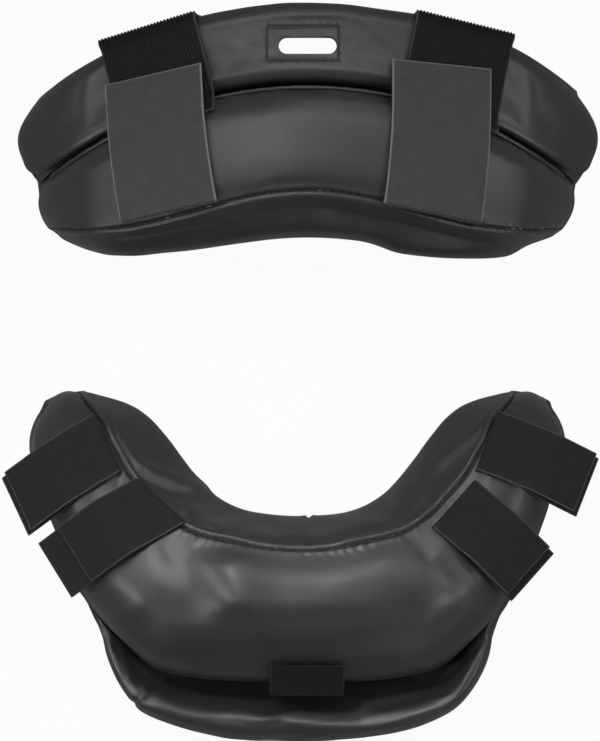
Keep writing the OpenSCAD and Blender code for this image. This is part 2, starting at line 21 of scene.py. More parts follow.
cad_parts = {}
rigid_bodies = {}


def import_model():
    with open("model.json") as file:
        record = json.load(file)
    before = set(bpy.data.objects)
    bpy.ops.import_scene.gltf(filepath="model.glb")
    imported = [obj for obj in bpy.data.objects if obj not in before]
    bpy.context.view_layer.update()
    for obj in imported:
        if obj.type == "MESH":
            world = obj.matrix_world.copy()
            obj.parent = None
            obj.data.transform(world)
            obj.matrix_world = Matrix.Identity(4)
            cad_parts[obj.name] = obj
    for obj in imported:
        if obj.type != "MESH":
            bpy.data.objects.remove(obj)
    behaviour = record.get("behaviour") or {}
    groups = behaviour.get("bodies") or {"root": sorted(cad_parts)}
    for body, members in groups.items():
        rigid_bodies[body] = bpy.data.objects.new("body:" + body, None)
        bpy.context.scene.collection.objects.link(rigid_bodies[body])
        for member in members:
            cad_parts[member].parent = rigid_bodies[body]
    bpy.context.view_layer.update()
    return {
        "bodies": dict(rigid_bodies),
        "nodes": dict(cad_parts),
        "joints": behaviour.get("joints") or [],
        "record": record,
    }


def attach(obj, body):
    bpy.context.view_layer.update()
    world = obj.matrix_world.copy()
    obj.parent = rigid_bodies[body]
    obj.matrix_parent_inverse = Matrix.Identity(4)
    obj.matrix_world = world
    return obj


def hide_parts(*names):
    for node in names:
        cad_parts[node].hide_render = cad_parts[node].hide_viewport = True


log = logging.getLogger("pads")
MM = 0.001
ABOVE = 40.0  # height over a hem from which rays look down, in millimetres
RAY = 0.07  # length of those rays, in metres
Array = np.ndarray


# ---------- shader maths ----------


class Wire:
    """A node socket that can be used in Python arithmetic."""

    def __init__(self, book: "Recipe", socket: bpy.types.NodeSocket) -> None:
        """Keeps the socket and the recipe it belongs to."""
        self.book = book
        self.socket = socket

    def _maths(self, operation: str, first: "Wire | float", second: "Wire | float" = 0.0) -> "Wire":
        """Adds one Math node.

        Args:
            operation: Math node operation.
            first: First value.
            second: Second value.

        Returns:
            The result.
        """
        return self.book.add("ShaderNodeMath", {"operation": operation}, {0: first, 1: second})

    def __add__(self, other: "Wire | float") -> "Wire":
        """Sum."""
        return self._maths("ADD", self, other)

    __radd__ = __add__

    def __mul__(self, other: "Wire | float") -> "Wire":
        """Product."""
        return self._maths("MULTIPLY", self, other)

    __rmul__ = __mul__

    def __sub__(self, other: "Wire | float") -> "Wire":
        """Difference."""
        return self._maths("SUBTRACT", self, other)

    def __rsub__(self, other: float) -> "Wire":
        """Difference from a number."""
        return self._maths("SUBTRACT", other, self)

    def sine(self) -> "Wire":
        """Sine of the value in radians."""
        return self._maths("SINE", self)

    def size(self) -> "Wire":
        """Absolute value."""
        return self._maths("ABSOLUTE", self)

    def least(self, other: "Wire | float") -> "Wire":
        """The smaller of two values."""
        return self._maths("MINIMUM", self, other)

    def most(self, other: "Wire | float") -> "Wire":
        """The larger of two values."""
        return self._maths("MAXIMUM", self, other)


class Recipe:
    """One material and the nodes that make it."""

    def __init__(self, name: str) -> None:
        """Makes an empty node material.

        Args:
            name: Name of the material.
        """
        self.material = bpy.data.materials.new(name)
        self.material.use_nodes = True
        self.tree = self.material.node_tree
        self.tree.nodes.clear()

    def add(
        self,
        kind: str,
        settings: dict[str, object] | None = None,
        inputs: dict[int | str, object] | None = None,
        output: int | str = 0,
    ) -> Wire:
        """Adds a node, sets it up and links its inputs.

        Args:
            kind: Node type.
            settings: Properties set on the node first.
            inputs: Value or Wire for each input socket, by index or name.
            output: Which output socket is returned.

        Returns:
            The chosen output.
        """
        node = self.tree.nodes.new(kind)
        for key, value in (settings or {}).items():
            setattr(node, key, value)
        for key, value in (inputs or {}).items():
            if isinstance(value, Wire):
                self.tree.links.new(value.socket, node.inputs[key])
            else:
                node.inputs[key].default_value = value
        return Wire(self, node.outputs[output])

    def noise(self, place: Wire, scale: float, detail: float = 3.0, rough: float = 0.5) -> Wire:
        """Noise around 0.5.

        Args:
            place: Coordinates.
            scale: Scale of the pattern.
            detail: Octaves.
            rough: Roughness of the octaves.

        Returns:
            The value.
        """
        inputs = {"Vector": place, "Scale": scale, "Detail": detail, "Roughness": rough}
        return self.add("ShaderNodeTexNoise", {}, inputs)

    def step(self, value: Wire, low: float, high: float) -> Wire:
        """Smooth step from 0 at low to 1 at high."""
        settings = {"interpolation_type": "SMOOTHSTEP"}
        return self.add("ShaderNodeMapRange", settings, {"Value": value, "From Min": low, "From Max": high})

    def blend(self, share: Wire | float, first: object, second: object) -> Wire:
        """Mix of two colours.

        Args:
            share: 0 gives first and 1 gives second.
            first: Colour or Wire.
            second: Colour or Wire.

        Returns:
            The colour.
        """
        return self.add("ShaderNodeMix", {"data_type": "RGBA"}, {0: share, 6: first, 7: second}, 2)

    def bump(self, height: Wire, strength: float, distance: float, under: Wire | None = None) -> Wire:
        """Bump from a height.

        Args:
            height: Height value.
            strength: Strength of the bump.
            distance: Distance in metres.
            under: Normal of a bump that this one lies on.

        Returns:
            The normal.
        """
        inputs: dict[int | str, object] = {"Height": height, "Strength": strength, "Distance": distance}
        if under is not None:
            inputs["Normal"] = under
        return self.add("ShaderNodeBump", {}, inputs)

    def surface(self, **values: object) -> bpy.types.Material:
        """Finishes the material with one Principled shader.

        Args:
            **values: Socket values, with underscores for spaces.

        Returns:
            The material.
        """
        inputs = {key.replace("_", " "): value for key, value in values.items()}
        shader = self.add("ShaderNodeBsdfPrincipled", {}, inputs)
        self.add_output(shader)
        return self.material

    def add_output(self, shader: Wire) -> None:
        """Links a shader to the material's output."""
        out = self.tree.nodes.new("ShaderNodeOutputMaterial")
        self.tree.links.new(shader.socket, out.inputs["Surface"])


def linear(level: float, tint: tuple[float, float, float] = (1.0, 1.0, 1.0)) -> tuple[float, float, float, float]:
    """Linear colour of an sRGB grey.

    Args:
        level: Grey from 0 to 255.
        tint: Factor on each channel.

    Returns:
        The colour with full alpha.
    """
    c = level / 255.0
    value = c / 12.92 if c <= 0.04045 else ((c + 0.055) / 1.055) ** 2.4
    return (value * tint[0], value * tint[1], value * tint[2], 1.0)


@dataclass(frozen=True)
class SyntheticLeather:
    """Satin coated fabric with a fine pebble grain, faint mottling and a dark sewn line.

    The piece's own attributes give the distance from the sewn line and the place along it, in millimetres.
    """

    name: str = "synthetic_leather"
    grey: float = 36.0
    gloss: float = 0.44
    grain: float = 0.16
    line: float = 0.32
    pitch: float = 3.4

    def make(self) -> bpy.types.Material:
        """Builds the material."""
        r = Recipe(self.name)
        place = r.add("ShaderNodeTexCoord", output="Object")
        cloud = r.noise(place, 38.0, 4.0, 0.55)
        mottle = r.step(cloud, 0.3, 0.72)
        cells = r.add(
            "ShaderNodeTexVoronoi", {"feature": "SMOOTH_F1"}, {"Vector": place, "Scale": 1050.0, "Smoothness": 0.7})
        fine = r.noise(place, 2400.0, 3.0, 0.6)
        height = cells * 0.7 + fine * 0.45
        scuff = r.step(r.noise(place, 210.0, 5.0, 0.7), 0.56, 0.78)
        colour = r.blend(mottle * 0.6, linear(self.grey - 5), linear(self.grey + 4, (1.0, 1.0, 1.01)))
        colour = r.blend(scuff * 0.16, colour, linear(self.grey + 26))
        away = r.add("ShaderNodeAttribute", {"attribute_name": "seam"}, output="Fac")
        run = r.add("ShaderNodeAttribute", {"attribute_name": "run"}, output="Fac")
        sewn = r.step(away.size(), self.line + 0.25, self.line * 0.4)
        holes = r.step((run * (2.0 * math.pi / self.pitch)).sine(), 0.3, 0.8) * r.step((away - 0.6).size(), 0.75, 0.3)
        colour = r.blend((sewn * 0.85).most(holes * 0.75), colour, linear(8.0))
        rough = self.gloss + mottle * -0.05 + scuff * 0.08 + cells * 0.05 + sewn * 0.25
        soft = r.bump(cloud, 0.25, 0.0006)
        normal = r.bump(height, self.grain, 0.00016, soft)
        normal = r.bump((sewn + holes * 0.6) * -1.0, 0.6, 0.0005, normal)
        return r.surface(Base_Color=colour, Roughness=rough, Normal=normal, Specular_IOR_Level=0.5)


@dataclass(frozen=True)
class KnitLining:
    """Matte knitted lining with a small regular mesh."""

    name: str = "knit_lining"
    grey: float = 38.0

    def make(self) -> bpy.types.Material:
        """Builds the material."""
        r = Recipe(self.name)
        place = r.add("ShaderNodeTexCoord", output="Object")
        parts = [r.add("ShaderNodeSeparateXYZ", {}, {0: place}, axis) for axis in (0, 1)]
        rows = (parts[0] * 4200.0).sine() * (parts[1] * 4200.0).sine()
        mesh = r.step(rows, 0.2, 0.9)
        fuzz = r.noise(place, 900.0, 3.0, 0.7)
        colour = r.blend(mesh, linear(self.grey + 6), linear(self.grey - 14))
        normal = r.bump(fuzz * 0.5 - mesh, 0.5, 0.0002)
        return r.surface(Base_Color=colour, Roughness=fuzz * 0.1 + 0.82, Normal=normal, Sheen_Weight=0.2)


@dataclass(frozen=True)
class TapeFinish:
    """Woven hook-and-loop tape, drawn in the piece's own UV map in millimetres: u across, v along."""

    name: str
    grey: float
    edge_grey: float
    rib_pitch: float
    rib_depth: float
    pile: float
    gloss: float
    fray: float = 0.0

    def make(self, width: float, length: float) -> bpy.types.Material:
        """Builds the material.

        Args:
            width: Width of the tape.
            length: Length of the tape along its path.

        Returns:
            The material.
        """
        r = Recipe(self.name)
        uv = r.add("ShaderNodeUVMap", {"uv_map": "tape"})
        across = r.add("ShaderNodeSeparateXYZ", {}, {0: uv}, 0)
        along = r.add("ShaderNodeSeparateXYZ", {}, {0: uv}, 1)
        wobble = r.noise(uv, 0.9, 2.0, 0.5)
        side = (across.size() * -1.0 + width / 2.0).most(0.0)
        end = (along * -1.0 + length).most(0.0)
        edge = r.step(side.least(end) + wobble * 0.35, 0.95, 0.35)
        ribs = (across * (2.0 * math.pi / self.rib_pitch)).sine() * 0.5 + 0.5
        picks = (along * (2.0 * math.pi / 0.62)).sine() * 0.5 + 0.5
        pile = r.noise(uv, 2.3, 5.0, 0.75)
        loops = r.add("ShaderNodeTexVoronoi", {"feature": "F1"}, {"Vector": uv, "Scale": 1.5, "Randomness": 1.0})
        patch = r.step(r.noise(uv, 0.16, 3.0, 0.5), 0.35, 0.7)
        height = ribs * self.rib_depth + pile * self.pile + loops * (self.pile * 0.8) + picks * 0.08
        tufts = r.step(r.noise(uv, 1.2, 4.0, 0.8), 0.4, 0.6) - 0.5
        wear_and_glint = r.step(along, 24.0, 5.0) * self.fray + max(0.0, self.pile - 0.9) * 1.2
        shade = (ribs - 0.5) * (self.rib_depth * 0.55) + (pile - 0.5) * (self.pile * 1.1) + patch * 0.12 + 0.42
        shade = shade + tufts * wear_and_glint
        colour = r.blend(shade.least(1.0).most(0.0), linear(self.grey - 15), linear(self.grey + 17))
        colour = r.blend(edge * 0.75, colour, linear(self.edge_grey))
        normal = r.bump(height + edge * 0.3, 0.75, 0.00035)
        rough = pile * 0.12 + (self.gloss - 0.06)
        return r.surface(Base_Color=colour, Roughness=rough, Normal=normal, Specular_IOR_Level=0.12, Sheen_Weight=0.04)


@dataclass(frozen=True)
class Thread:
    """Twisted black polyester thread with a slight shine and a few painted glints."""

    name: str = "thread"
    grey: float = 22.0

    def make(self) -> bpy.types.Material:
        """Builds the material."""
        r = Recipe(self.name)
        place = r.add("ShaderNodeTexCoord", output="Object")
        wave = r.add(
            "ShaderNodeTexWave", {"bands_direction": "DIAGONAL"},
            {"Vector": place, "Scale": 1900.0, "Distortion": 1.0}, 1)
        # Painted glints: rare light grey spots stand in for light catching the thread.
        wear_and_glint = r.step(r.noise(place, 150.0, 2.0, 0.5), 0.6, 0.66)
        colour = r.blend(wave, linear(self.grey), linear(self.grey + 22))
        colour = r.blend(wear_and_glint * 0.6, colour, linear(150.0))
        return r.surface(Base_Color=colour, Roughness=wave * 0.15 + 0.45, Normal=r.bump(wave, 0.5, 0.0001))


@dataclass(frozen=True)
class BarePlastic:
    """Plain moulded sheet inside the upper cushion."""

    name: str = "stiffener_plastic"
    grey: float = 70.0

    def make(self) -> bpy.types.Material:
        """Builds the material."""
        r = Recipe(self.name)
        place = r.add("ShaderNodeTexCoord", output="Object")
        speck = r.noise(place, 700.0, 3.0, 0.6)
        colour = r.blend(speck, linear(self.grey - 6), linear(self.grey + 6))
        return r.surface(Base_Color=colour, Roughness=speck * 0.15 + 0.5, Normal=r.bump(speck, 0.2, 0.0001))


# ---------- shapes ----------


def smooth(value: Array | float) -> Array | float:
    """Smooth step of a value already scaled to 0 to 1."""
    t = np.clip(value, 0.0, 1.0)
    return t * t * (3.0 - 2.0 * t)


def hill(distance: Array | float, width: float) -> Array | float:
    """Bell of height 1 around 0."""
    return np.exp(-((distance / width) ** 2))


def way_along(path: Array) -> Array:
    """Distance along a path at each of its points."""
    return np.concatenate([[0.0], np.cumsum(np.linalg.norm(np.diff(path, axis=0), axis=1))])


def through(points: Sequence[Sequence[float]], u: float) -> Array:
    """Point at u on a smooth curve through the points, mirrored in X before the first.

    Args:
        points: Plan points.
        u: Place, where whole numbers are the points.

    Returns:
        The point.
    """
    p = np.asarray(points, dtype=float)
    last = len(p) - 1
    i = min(int(u), last - 1)
    t = u - i
    a = p[1] * (-1, 1) if i == 0 else p[i - 1]
    b, c, d = p[i], p[i + 1], p[min(i + 2, last)]
    return 0.5 * (2 * b + (c - a) * t + (2 * a - 5 * b + 4 * c - d) * t * t + (3 * b - a - 3 * c + d) * t**3)


class Plan:
    """Shape of a pad's front: rails in plan, and a section of (distance, height) points between them."""

    def rails(self, k: float) -> Array:
        """Plan points of the four rails at station k."""
        raise NotImplementedError

    def section(self, k: float) -> Array:
        """Section points (distance, height) at station k."""
        raise NotImplementedError

    def steps(self, k: float) -> Array:
        """Distances of the rails along the section at station k."""
        return way_along(self.rails(k))

    def spread(self, k: float, distance: Array) -> Array:
        """Plan points at distances along the section, carried on straight past both ends.

        Args:
            k: Station.
            distance: Distances from the first rail.

        Returns:
            One row of (x, y) a distance.
        """
        q, d = self.rails(k), self.steps(k)
        xy = np.stack([np.interp(distance, d, q[:, axis]) for axis in (0, 1)], axis=1)
        head = (q[1] - q[0]) / max(d[1], 1e-6)
        tail = (q[3] - q[2]) / max(d[3] - d[2], 1e-6)
        return xy + np.minimum(distance, 0.0)[:, None] * head + np.maximum(distance - d[3], 0.0)[:, None] * tail

    def place(self, k: float, points: Array) -> Array:
        """Section points at station k as places in the pad's frame."""
        raise NotImplementedError

    def line(self, index: int, offset: float, low: float, high: float, count: int = 160) -> Array:
        """Path along the stations, some way past one section point.

        Args:
            index: Section point.
            offset: Distance past it.
            low: First station.
            high: Last station.
            count: Points on the path.

        Returns:
            The path.
        """
        ks = [float(k) for k in np.linspace(low, high, count)]
        return np.array([self.place(k, self.section(k)[index : index + 1] + (offset, 0.0))[0] for k in ks])


@dataclass
class ForeheadPlan(Plan):
    """Arched forehead pad, from the bottom edge over the seam and the groove to the top edge."""

    half_width: float = 106.0
    height: float = 98.7
    thick: float = 31.5
    flap_thick: float = 19.5
    top_radius: float = 170.0
    groove_radius: float = 165.0
    groove_drop: float = 32.7
    dip_reach: float = 62.0
    dip: float = 2.85
    right_lift: float = 2.2
    arch: float = 32.0
    bend: float = 0.896
    end_height: float = 0.444
    centre: tuple[float, float] = (3.0, 45.0)

    def rails(self, k: float) -> Array:
        """Plan points of the bottom edge, the seam, the groove and the top edge."""
        w = self.half_width * k
        n = 0.98 if k > 0 else 1.0
        xb, xm, xg, xt = 0.934 * n * w, 0.958 * n * w, 0.993 * w, w
        ab = abs(xb)
        if ab < self.dip_reach:
            yb = self.dip * (1 + math.cos(math.pi * ab / self.dip_reach))
        else:
            yb = (ab - self.dip_reach) ** 2 / 150.0
        ym = 17.5 + 7.7 * math.cos(math.pi * xm / 86.0)
        yg = self.height - self.groove_drop - (self.groove_radius - math.sqrt(self.groove_radius**2 - xg * xg))
        yt = self.height - (self.top_radius - math.sqrt(self.top_radius**2 - xt * xt))
        yt += self.right_lift * float(smooth((k - 0.45) / 0.35))
        return np.array([[xb, yb], [xm, ym], [xg, yg], [xt, yt]])

    def base(self, k: float) -> float:
        """Height of the pad's back."""
        return self.arch * (math.sqrt(1 - (self.bend * k) ** 2) - self.end_height) / (1 - self.end_height)

    def heights(self, k: float) -> tuple[float, float]:
        """Heights of the lower and the upper cushion."""
        a = abs(k)
        scale = (1 - 0.22 * a * a) * (1.0 if a < 0.8 else math.sqrt(max(0.0, 1 - ((a - 0.8) / 0.2) ** 2)))
        return max(self.thick * scale, 1.4), max(self.flap_thick * scale, 1.0)

    def section(self, k: float) -> Array:
        """Section points over both cushions."""
        _, m, g, t = self.steps(k)
        high, flap = self.heights(k)
        low, top = g - m, t - g
        return np.array([
            [5, 0], [1.5, 0.12 * high], [0, 0.34 * high], [0.22 * m, 0.62 * high], [0.6 * m, 0.86 * high], [m, high],
            [m + 0.1 * low, 1.06 * high], [m + 0.3 * low, 1.08 * high], [m + 0.55 * low, 1.04 * high],
            [m + 0.78 * low, 0.94 * high], [m + 0.93 * low, 0.78 * high], [g, 0.6 * flap + 0.06 * high],
            [g + 0.06 * top, 0.94 * flap], [g + 0.2 * top, 1.02 * flap], [g + 0.42 * top, 0.9 * flap],
            [g + 0.7 * top, 0.78 * flap], [g + 0.88 * top, 0.66 * flap], [t, 0.38 * flap], [t - 1.5, 0.14 * flap],
            [t - 5, 0],
        ])

    def place(self, k: float, points: Array) -> Array:
        """Section points at station k as places."""
        d = self.steps(k)
        r = points[:, 0]
        xy = self.spread(k, r)
        upper = 8.5 * np.sin(np.pi * np.clip((r - d[2]) / (d[3] - d[2]), 0, 1))
        lower = 4.0 * np.sin(np.pi * np.clip(r / d[2], 0, 1))
        x = xy[:, 0] + np.where(r > d[2], upper, lower) * abs(k) ** 9 * math.copysign(1.0, k)
        return np.stack([x + self.centre[0], xy[:, 1] + self.centre[1], points[:, 1] + self.base(k)], axis=1)


@dataclass
class ChinPlan(Plan):
    """Chin pad: two arms and the middle, from the inner edge over the seam and the crease to the lip."""

    last: float = 9.0
    thick: float = 42.0
    arm_thick: float = 29.0
    crown: float = 8.0
    lip_thick: float = 19.0
    arch: float = 3.5
    centre: tuple[float, float] = (-1.0, -144.0)
    inner: tuple[tuple[float, float], ...] = (
        (0, 87.4), (12, 88.2), (23, 90.8), (32.5, 96), (39.5, 102.5),
        (45.5, 110), (51, 118), (58.5, 126.5), (68, 132), (84, 136.2))
    seam: tuple[tuple[float, float], ...] = (
        (0, 74.4), (14, 75.1), (28, 77.7), (41, 81), (51, 87),
        (59, 95), (66.5, 104), (73, 115), (77.5, 124.5), (85.5, 133))
    front: tuple[tuple[float, float], ...] = (
        (0, 20.8), (20, 20.7), (39.5, 22), (56, 26), (68.5, 36.5),
        (77.5, 47), (88, 65.5), (98.5, 94), (104, 115), (98.5, 131.5))
    outer: tuple[tuple[float, float], ...] = (
        (0, 0), (22, 0.8), (43, 4.4), (62, 13), (73.5, 29),
        (79.5, 45), (89.5, 64.5), (100, 93.5), (105.5, 115), (99.5, 132))

    def rails(self, k: float) -> Array:
        """Plan points of the inner edge, the seam, the front cushion's edge and the outer edge."""
        side = -1.0 if k < 0 else 1.0
        lines = (self.inner, self.seam, self.front, self.outer)
        return np.array([through(line, abs(k)) * (side, 1.0) for line in lines])

    def base(self, k: float) -> float:
        """Height of the pad's back."""
        return self.arch * math.sin(math.radians(20 * k)) ** 2

    def lip_share(self, k: float) -> float:
        """How much of a lip stands out below the front cushion, from 0 to 1."""
        d = self.steps(k)
        return float(smooth((d[3] - d[2] - 2) / 14))

    def heights(self, k: float) -> tuple[float, float, float]:
        """Height at the seam, crown over it, and the roundness left near an arm's tip."""
        a = abs(k) / self.last
        left = 1.0 if a < 0.76 else math.sqrt(max(0.0, 1 - ((a - 0.76) / 0.24) ** 2))
        high = (self.thick + (self.arm_thick - self.thick) * float(smooth(a / 0.75))) * left
        return max(high, 1.6), self.crown * (1 - 0.45 * float(smooth(a / 0.6))) * left, max(left, 0.06)

    def section(self, k: float) -> Array:
        """Section points over the inner band, the front cushion and the lip."""
        _, s, f, l = self.steps(k)
        high, crown, left = self.heights(k)
        w, v, e, lip = f - s, l - f, self.lip_thick * left, self.lip_share(k)
        full = np.array([[f, 0.5 * high], [f - 2.5, 0.72 * e], [f + 0.22 * v, 0.82 * e], [f + 0.55 * v, e],
                         [f + 0.85 * v, 0.82 * e], [l, 0.42 * e], [l - 1.5, 0.13 * e]])
        flat = np.array([[f - 0.6, 0.5 * high], [f - 0.2, 0.42 * high], [f + 0.2 * v, 0.35 * high],
                         [f + 0.55 * v, 0.28 * high], [f + 0.85 * v, 0.21 * high], [l, 0.14 * high],
                         [l - 1.2, 0.06 * high]])
        head = [[4, 0], [1, 0.08 * high], [0, 0.22 * high], [0.3 * s, 0.5 * high], [0.66 * s, 0.8 * high], [s, high],
                [s + 0.07 * w, high + 0.4 * crown], [s + 0.22 * w, high + 0.85 * crown], [s + 0.42 * w, high + crown],
                [s + 0.62 * w, high + 0.7 * crown], [s + 0.8 * w, 0.95 * high], [s + 0.93 * w, 0.76 * high]]
        return np.concatenate([np.array(head), full * lip + flat * (1 - lip), [[l - 5, 0]]])

    def place(self, k: float, points: Array) -> Array:
        """Section points at station k as places."""
        d = self.steps(k)
        xy = self.spread(k, points[:, 0])
        tip = (abs(k) / self.last) ** 30 * 3.6 * np.sin(np.pi * np.clip(points[:, 0] / d[3], 0, 1))
        x, y = xy[:, 0] + self.centre[0], xy[:, 1] + self.centre[1] + tip
        return np.stack([x, y, points[:, 1] + self.base(k)], axis=1)


# ---------- meshes ----------


def new_object(name: str, mesh: bpy.types.Mesh, *materials: bpy.types.Material) -> bpy.types.Object:
    """Links a mesh to the scene as an object with materials.

    Args:
        name: Name of the piece.
        mesh: Its mesh, in metres.
        *materials: Its materials.

    Returns:
        The object.
    """
    piece = bpy.data.objects.new(name, mesh)
    bpy.context.scene.collection.objects.link(piece)
    for material in materials:
        mesh.materials.append(material)
    return piece


def mesh_from(heap: bmesh.types.BMesh, name: str) -> bpy.types.Mesh:
    """Writes a bmesh into a new mesh and frees it."""
    mesh = bpy.data.meshes.new(name)
    heap.to_mesh(mesh)
    heap.free()
    return mesh


def sleeve(
    name: str,
    rows: Array,
    marks: dict[str, Array],
    *materials: bpy.types.Material,
    uv: str | None = None,
) -> bpy.types.Object:
    """Makes a closed skin from rows of points that go once round a section, one row a station.

    Args:
        name: Name of the piece.
        rows: Points in millimetres, as stations by points round by 3. The last point meets the first.
        marks: Values kept on the vertices as attributes, each as stations by points round.
        *materials: Materials of the piece.
        uv: Name of a UV map made from the marks "u" and "v".

    Returns:
        The object, closed at both ends.
    """
    stations, around = rows.shape[:2]
    shell = bmesh.new()
    bmesh.ops.create_grid(shell, x_segments=around, y_segments=stations - 1, size=1.0)
    shell.verts.ensure_lookup_table()
    spots = [(round(vert.co.y, 6), round(vert.co.x, 6)) for vert in shell.verts]
    order = sorted(range(len(spots)), key=spots.__getitem__)
    layers = {key: shell.verts.layers.float.new(key) for key in marks}
    chart = shell.loops.layers.uv.new(uv) if uv else None
    seat: dict[int, tuple[int, int]] = {}
    for n, index in enumerate(order):
        i, j = divmod(n, around + 1)
        vert = shell.verts[index]
        seat[index] = (i, j)
        vert.co = Vector(rows[i, j % around]) * MM
        for key, layer in layers.items():
            vert[layer] = float(marks[key][i, j % around])
    for face in shell.faces:
        face.smooth = True
        if chart:
            for loop in face.loops:
                i, j = seat[loop.vert.index]
                loop[chart].uv = (float(marks["u"][i, j % around]), float(marks["v"][i, j % around]))
    bmesh.ops.remove_doubles(shell, verts=shell.verts, dist=1e-7)
    edges = [e for e in shell.edges if e.is_boundary]
    caps = bmesh.ops.holes_fill(shell, edges=edges, sides=0)["faces"]
    if caps:
        fan = bmesh.ops.poke(shell, faces=caps)["faces"]
        for face in fan:
            face.smooth = True
    bmesh.ops.recalc_face_normals(shell, faces=shell.faces)
    return new_object(name, mesh_from(shell, name), *materials)


def apply_modifiers(piece: bpy.types.Object) -> None:
    """Replaces a piece's mesh with what its modifiers make of it."""
    graph = bpy.context.evaluated_depsgraph_get()
    made = bpy.data.meshes.new_from_object(piece.evaluated_get(graph), preserve_all_data_layers=True, depsgraph=graph)
    old, piece.data = piece.data, made
    made.name = piece.name
    piece.modifiers.clear()
    bpy.data.meshes.remove(old)


def subdivide(piece: bpy.types.Object) -> None:
    """Smooths a piece with one Catmull-Clark subdivision and applies it."""
    wave = piece.modifiers.new("smooth", "SUBSURF")
    wave.levels = wave.render_levels = 1
    apply_modifiers(piece)


def points_of(mesh: bpy.types.Mesh) -> Array:
    """Vertex places of a mesh in metres."""
    out = np.empty(len(mesh.vertices) * 3, dtype=np.float32)
    mesh.vertices.foreach_get("co", out)
    return out.reshape(-1, 3).astype(float)


def normals_of(mesh: bpy.types.Mesh) -> Array:
    """Vertex normals of a mesh."""
    out = np.empty(len(mesh.vertices) * 3, dtype=np.float32)
    mesh.vertices.foreach_get("normal", out)
    return out.reshape(-1, 3).astype(float)


def move_to(mesh: bpy.types.Mesh, places: Array) -> None:
    """Sets the vertex places of a mesh in metres."""
    mesh.vertices.foreach_set("co", places.astype(np.float32).ravel())
    mesh.update()


def mark_of(mesh: bpy.types.Mesh, key: str) -> Array:
    """Values of a vertex attribute."""
    out = np.empty(len(mesh.vertices), dtype=np.float32)
    mesh.attributes[key].data.foreach_get("value", out)
    return out.astype(float)


def put_mark(mesh: bpy.types.Mesh, key: str, values: Array) -> None:
    """Writes values to a vertex attribute, making it where it is missing."""
    layer = mesh.attributes.get(key) or mesh.attributes.new(key, "FLOAT", "POINT")
    layer.data.foreach_set("value", values.astype(np.float32))


def rumple(places: Array, scale: float, seed: float, stretch: tuple[float, float, float] = (1.0, 1.0, 1.0)) -> Array:
    """Smooth noise at each place, in millimetres.

    Args:
        places: Points in metres.
        scale: Size of the pattern in millimetres.
        seed: Offset that picks the pattern.
        stretch: Factor on each axis.

    Returns:
        Values of about -1 to 1.
    """
    q = places / MM / scale * np.asarray(stretch) + seed
    return np.array([noise.noise(Vector(p)) for p in q]) * 1.6


@dataclass
class Swell:
    """Cloth simulation that fills a pad's cover: air pressure on a cover cut a little large, sewn down at its seams."""

    pressure: float = 4.0
    spare: float = 0.03
    frames: int = 16
    cap: float = 2.5
    stiffness: float = 12.0
    bending: float = 0.6

    def fill(self, piece: bpy.types.Object, held: Array) -> None:
        """Runs the simulation and keeps its result, with each point moved no further than the cap.

        Args:
            piece: Pad cover as a closed mesh.
            held: How firmly each vertex is sewn down, from 0 to 1.
        """
        before = points_of(piece.data)
        group = piece.vertex_groups.new(name="sewn")
        for level in np.unique(np.round(held, 2)):
            if level > 0:
                group.add([int(i) for i in np.nonzero(np.round(held, 2) == level)[0]], float(level), "REPLACE")
        cloth = piece.modifiers.new("cloth", "CLOTH")
        wear = cloth.settings
        wear.quality = 6
        wear.mass = 0.3
        wear.tension_stiffness = wear.compression_stiffness = self.stiffness
        wear.shear_stiffness = self.stiffness * 0.6
        wear.bending_stiffness = self.bending
        wear.use_pressure = True
        wear.uniform_pressure_force = self.pressure
        wear.shrink_min = -self.spare
        wear.effector_weights.gravity = 0.0
        wear.vertex_group_mass = "sewn"
        wear.pin_stiffness = 1.0
        cloth.point_cache.frame_start, cloth.point_cache.frame_end = 1, self.frames
        scene = bpy.context.scene
        for frame in range(1, self.frames + 1):
            scene.frame_set(frame)
        graph = bpy.context.evaluated_depsgraph_get()
        after = points_of(piece.evaluated_get(graph).data)
        piece.modifiers.clear()
        piece.vertex_groups.clear()
        scene.frame_set(1)
        step = after - before
        size = np.linalg.norm(step, axis=1) / MM
        size = np.where(np.isfinite(size), size, 0.0)
        soft = self.cap * np.tanh(size / self.cap) / np.maximum(size, 1e-6)
        step = np.nan_to_num(step) * soft[:, None]
        log.info("%s swelled by up to %.1f mm", piece.name, float((size * soft).max()))
        move_to(piece.data, before + step)


# ---------- padded pieces ----------


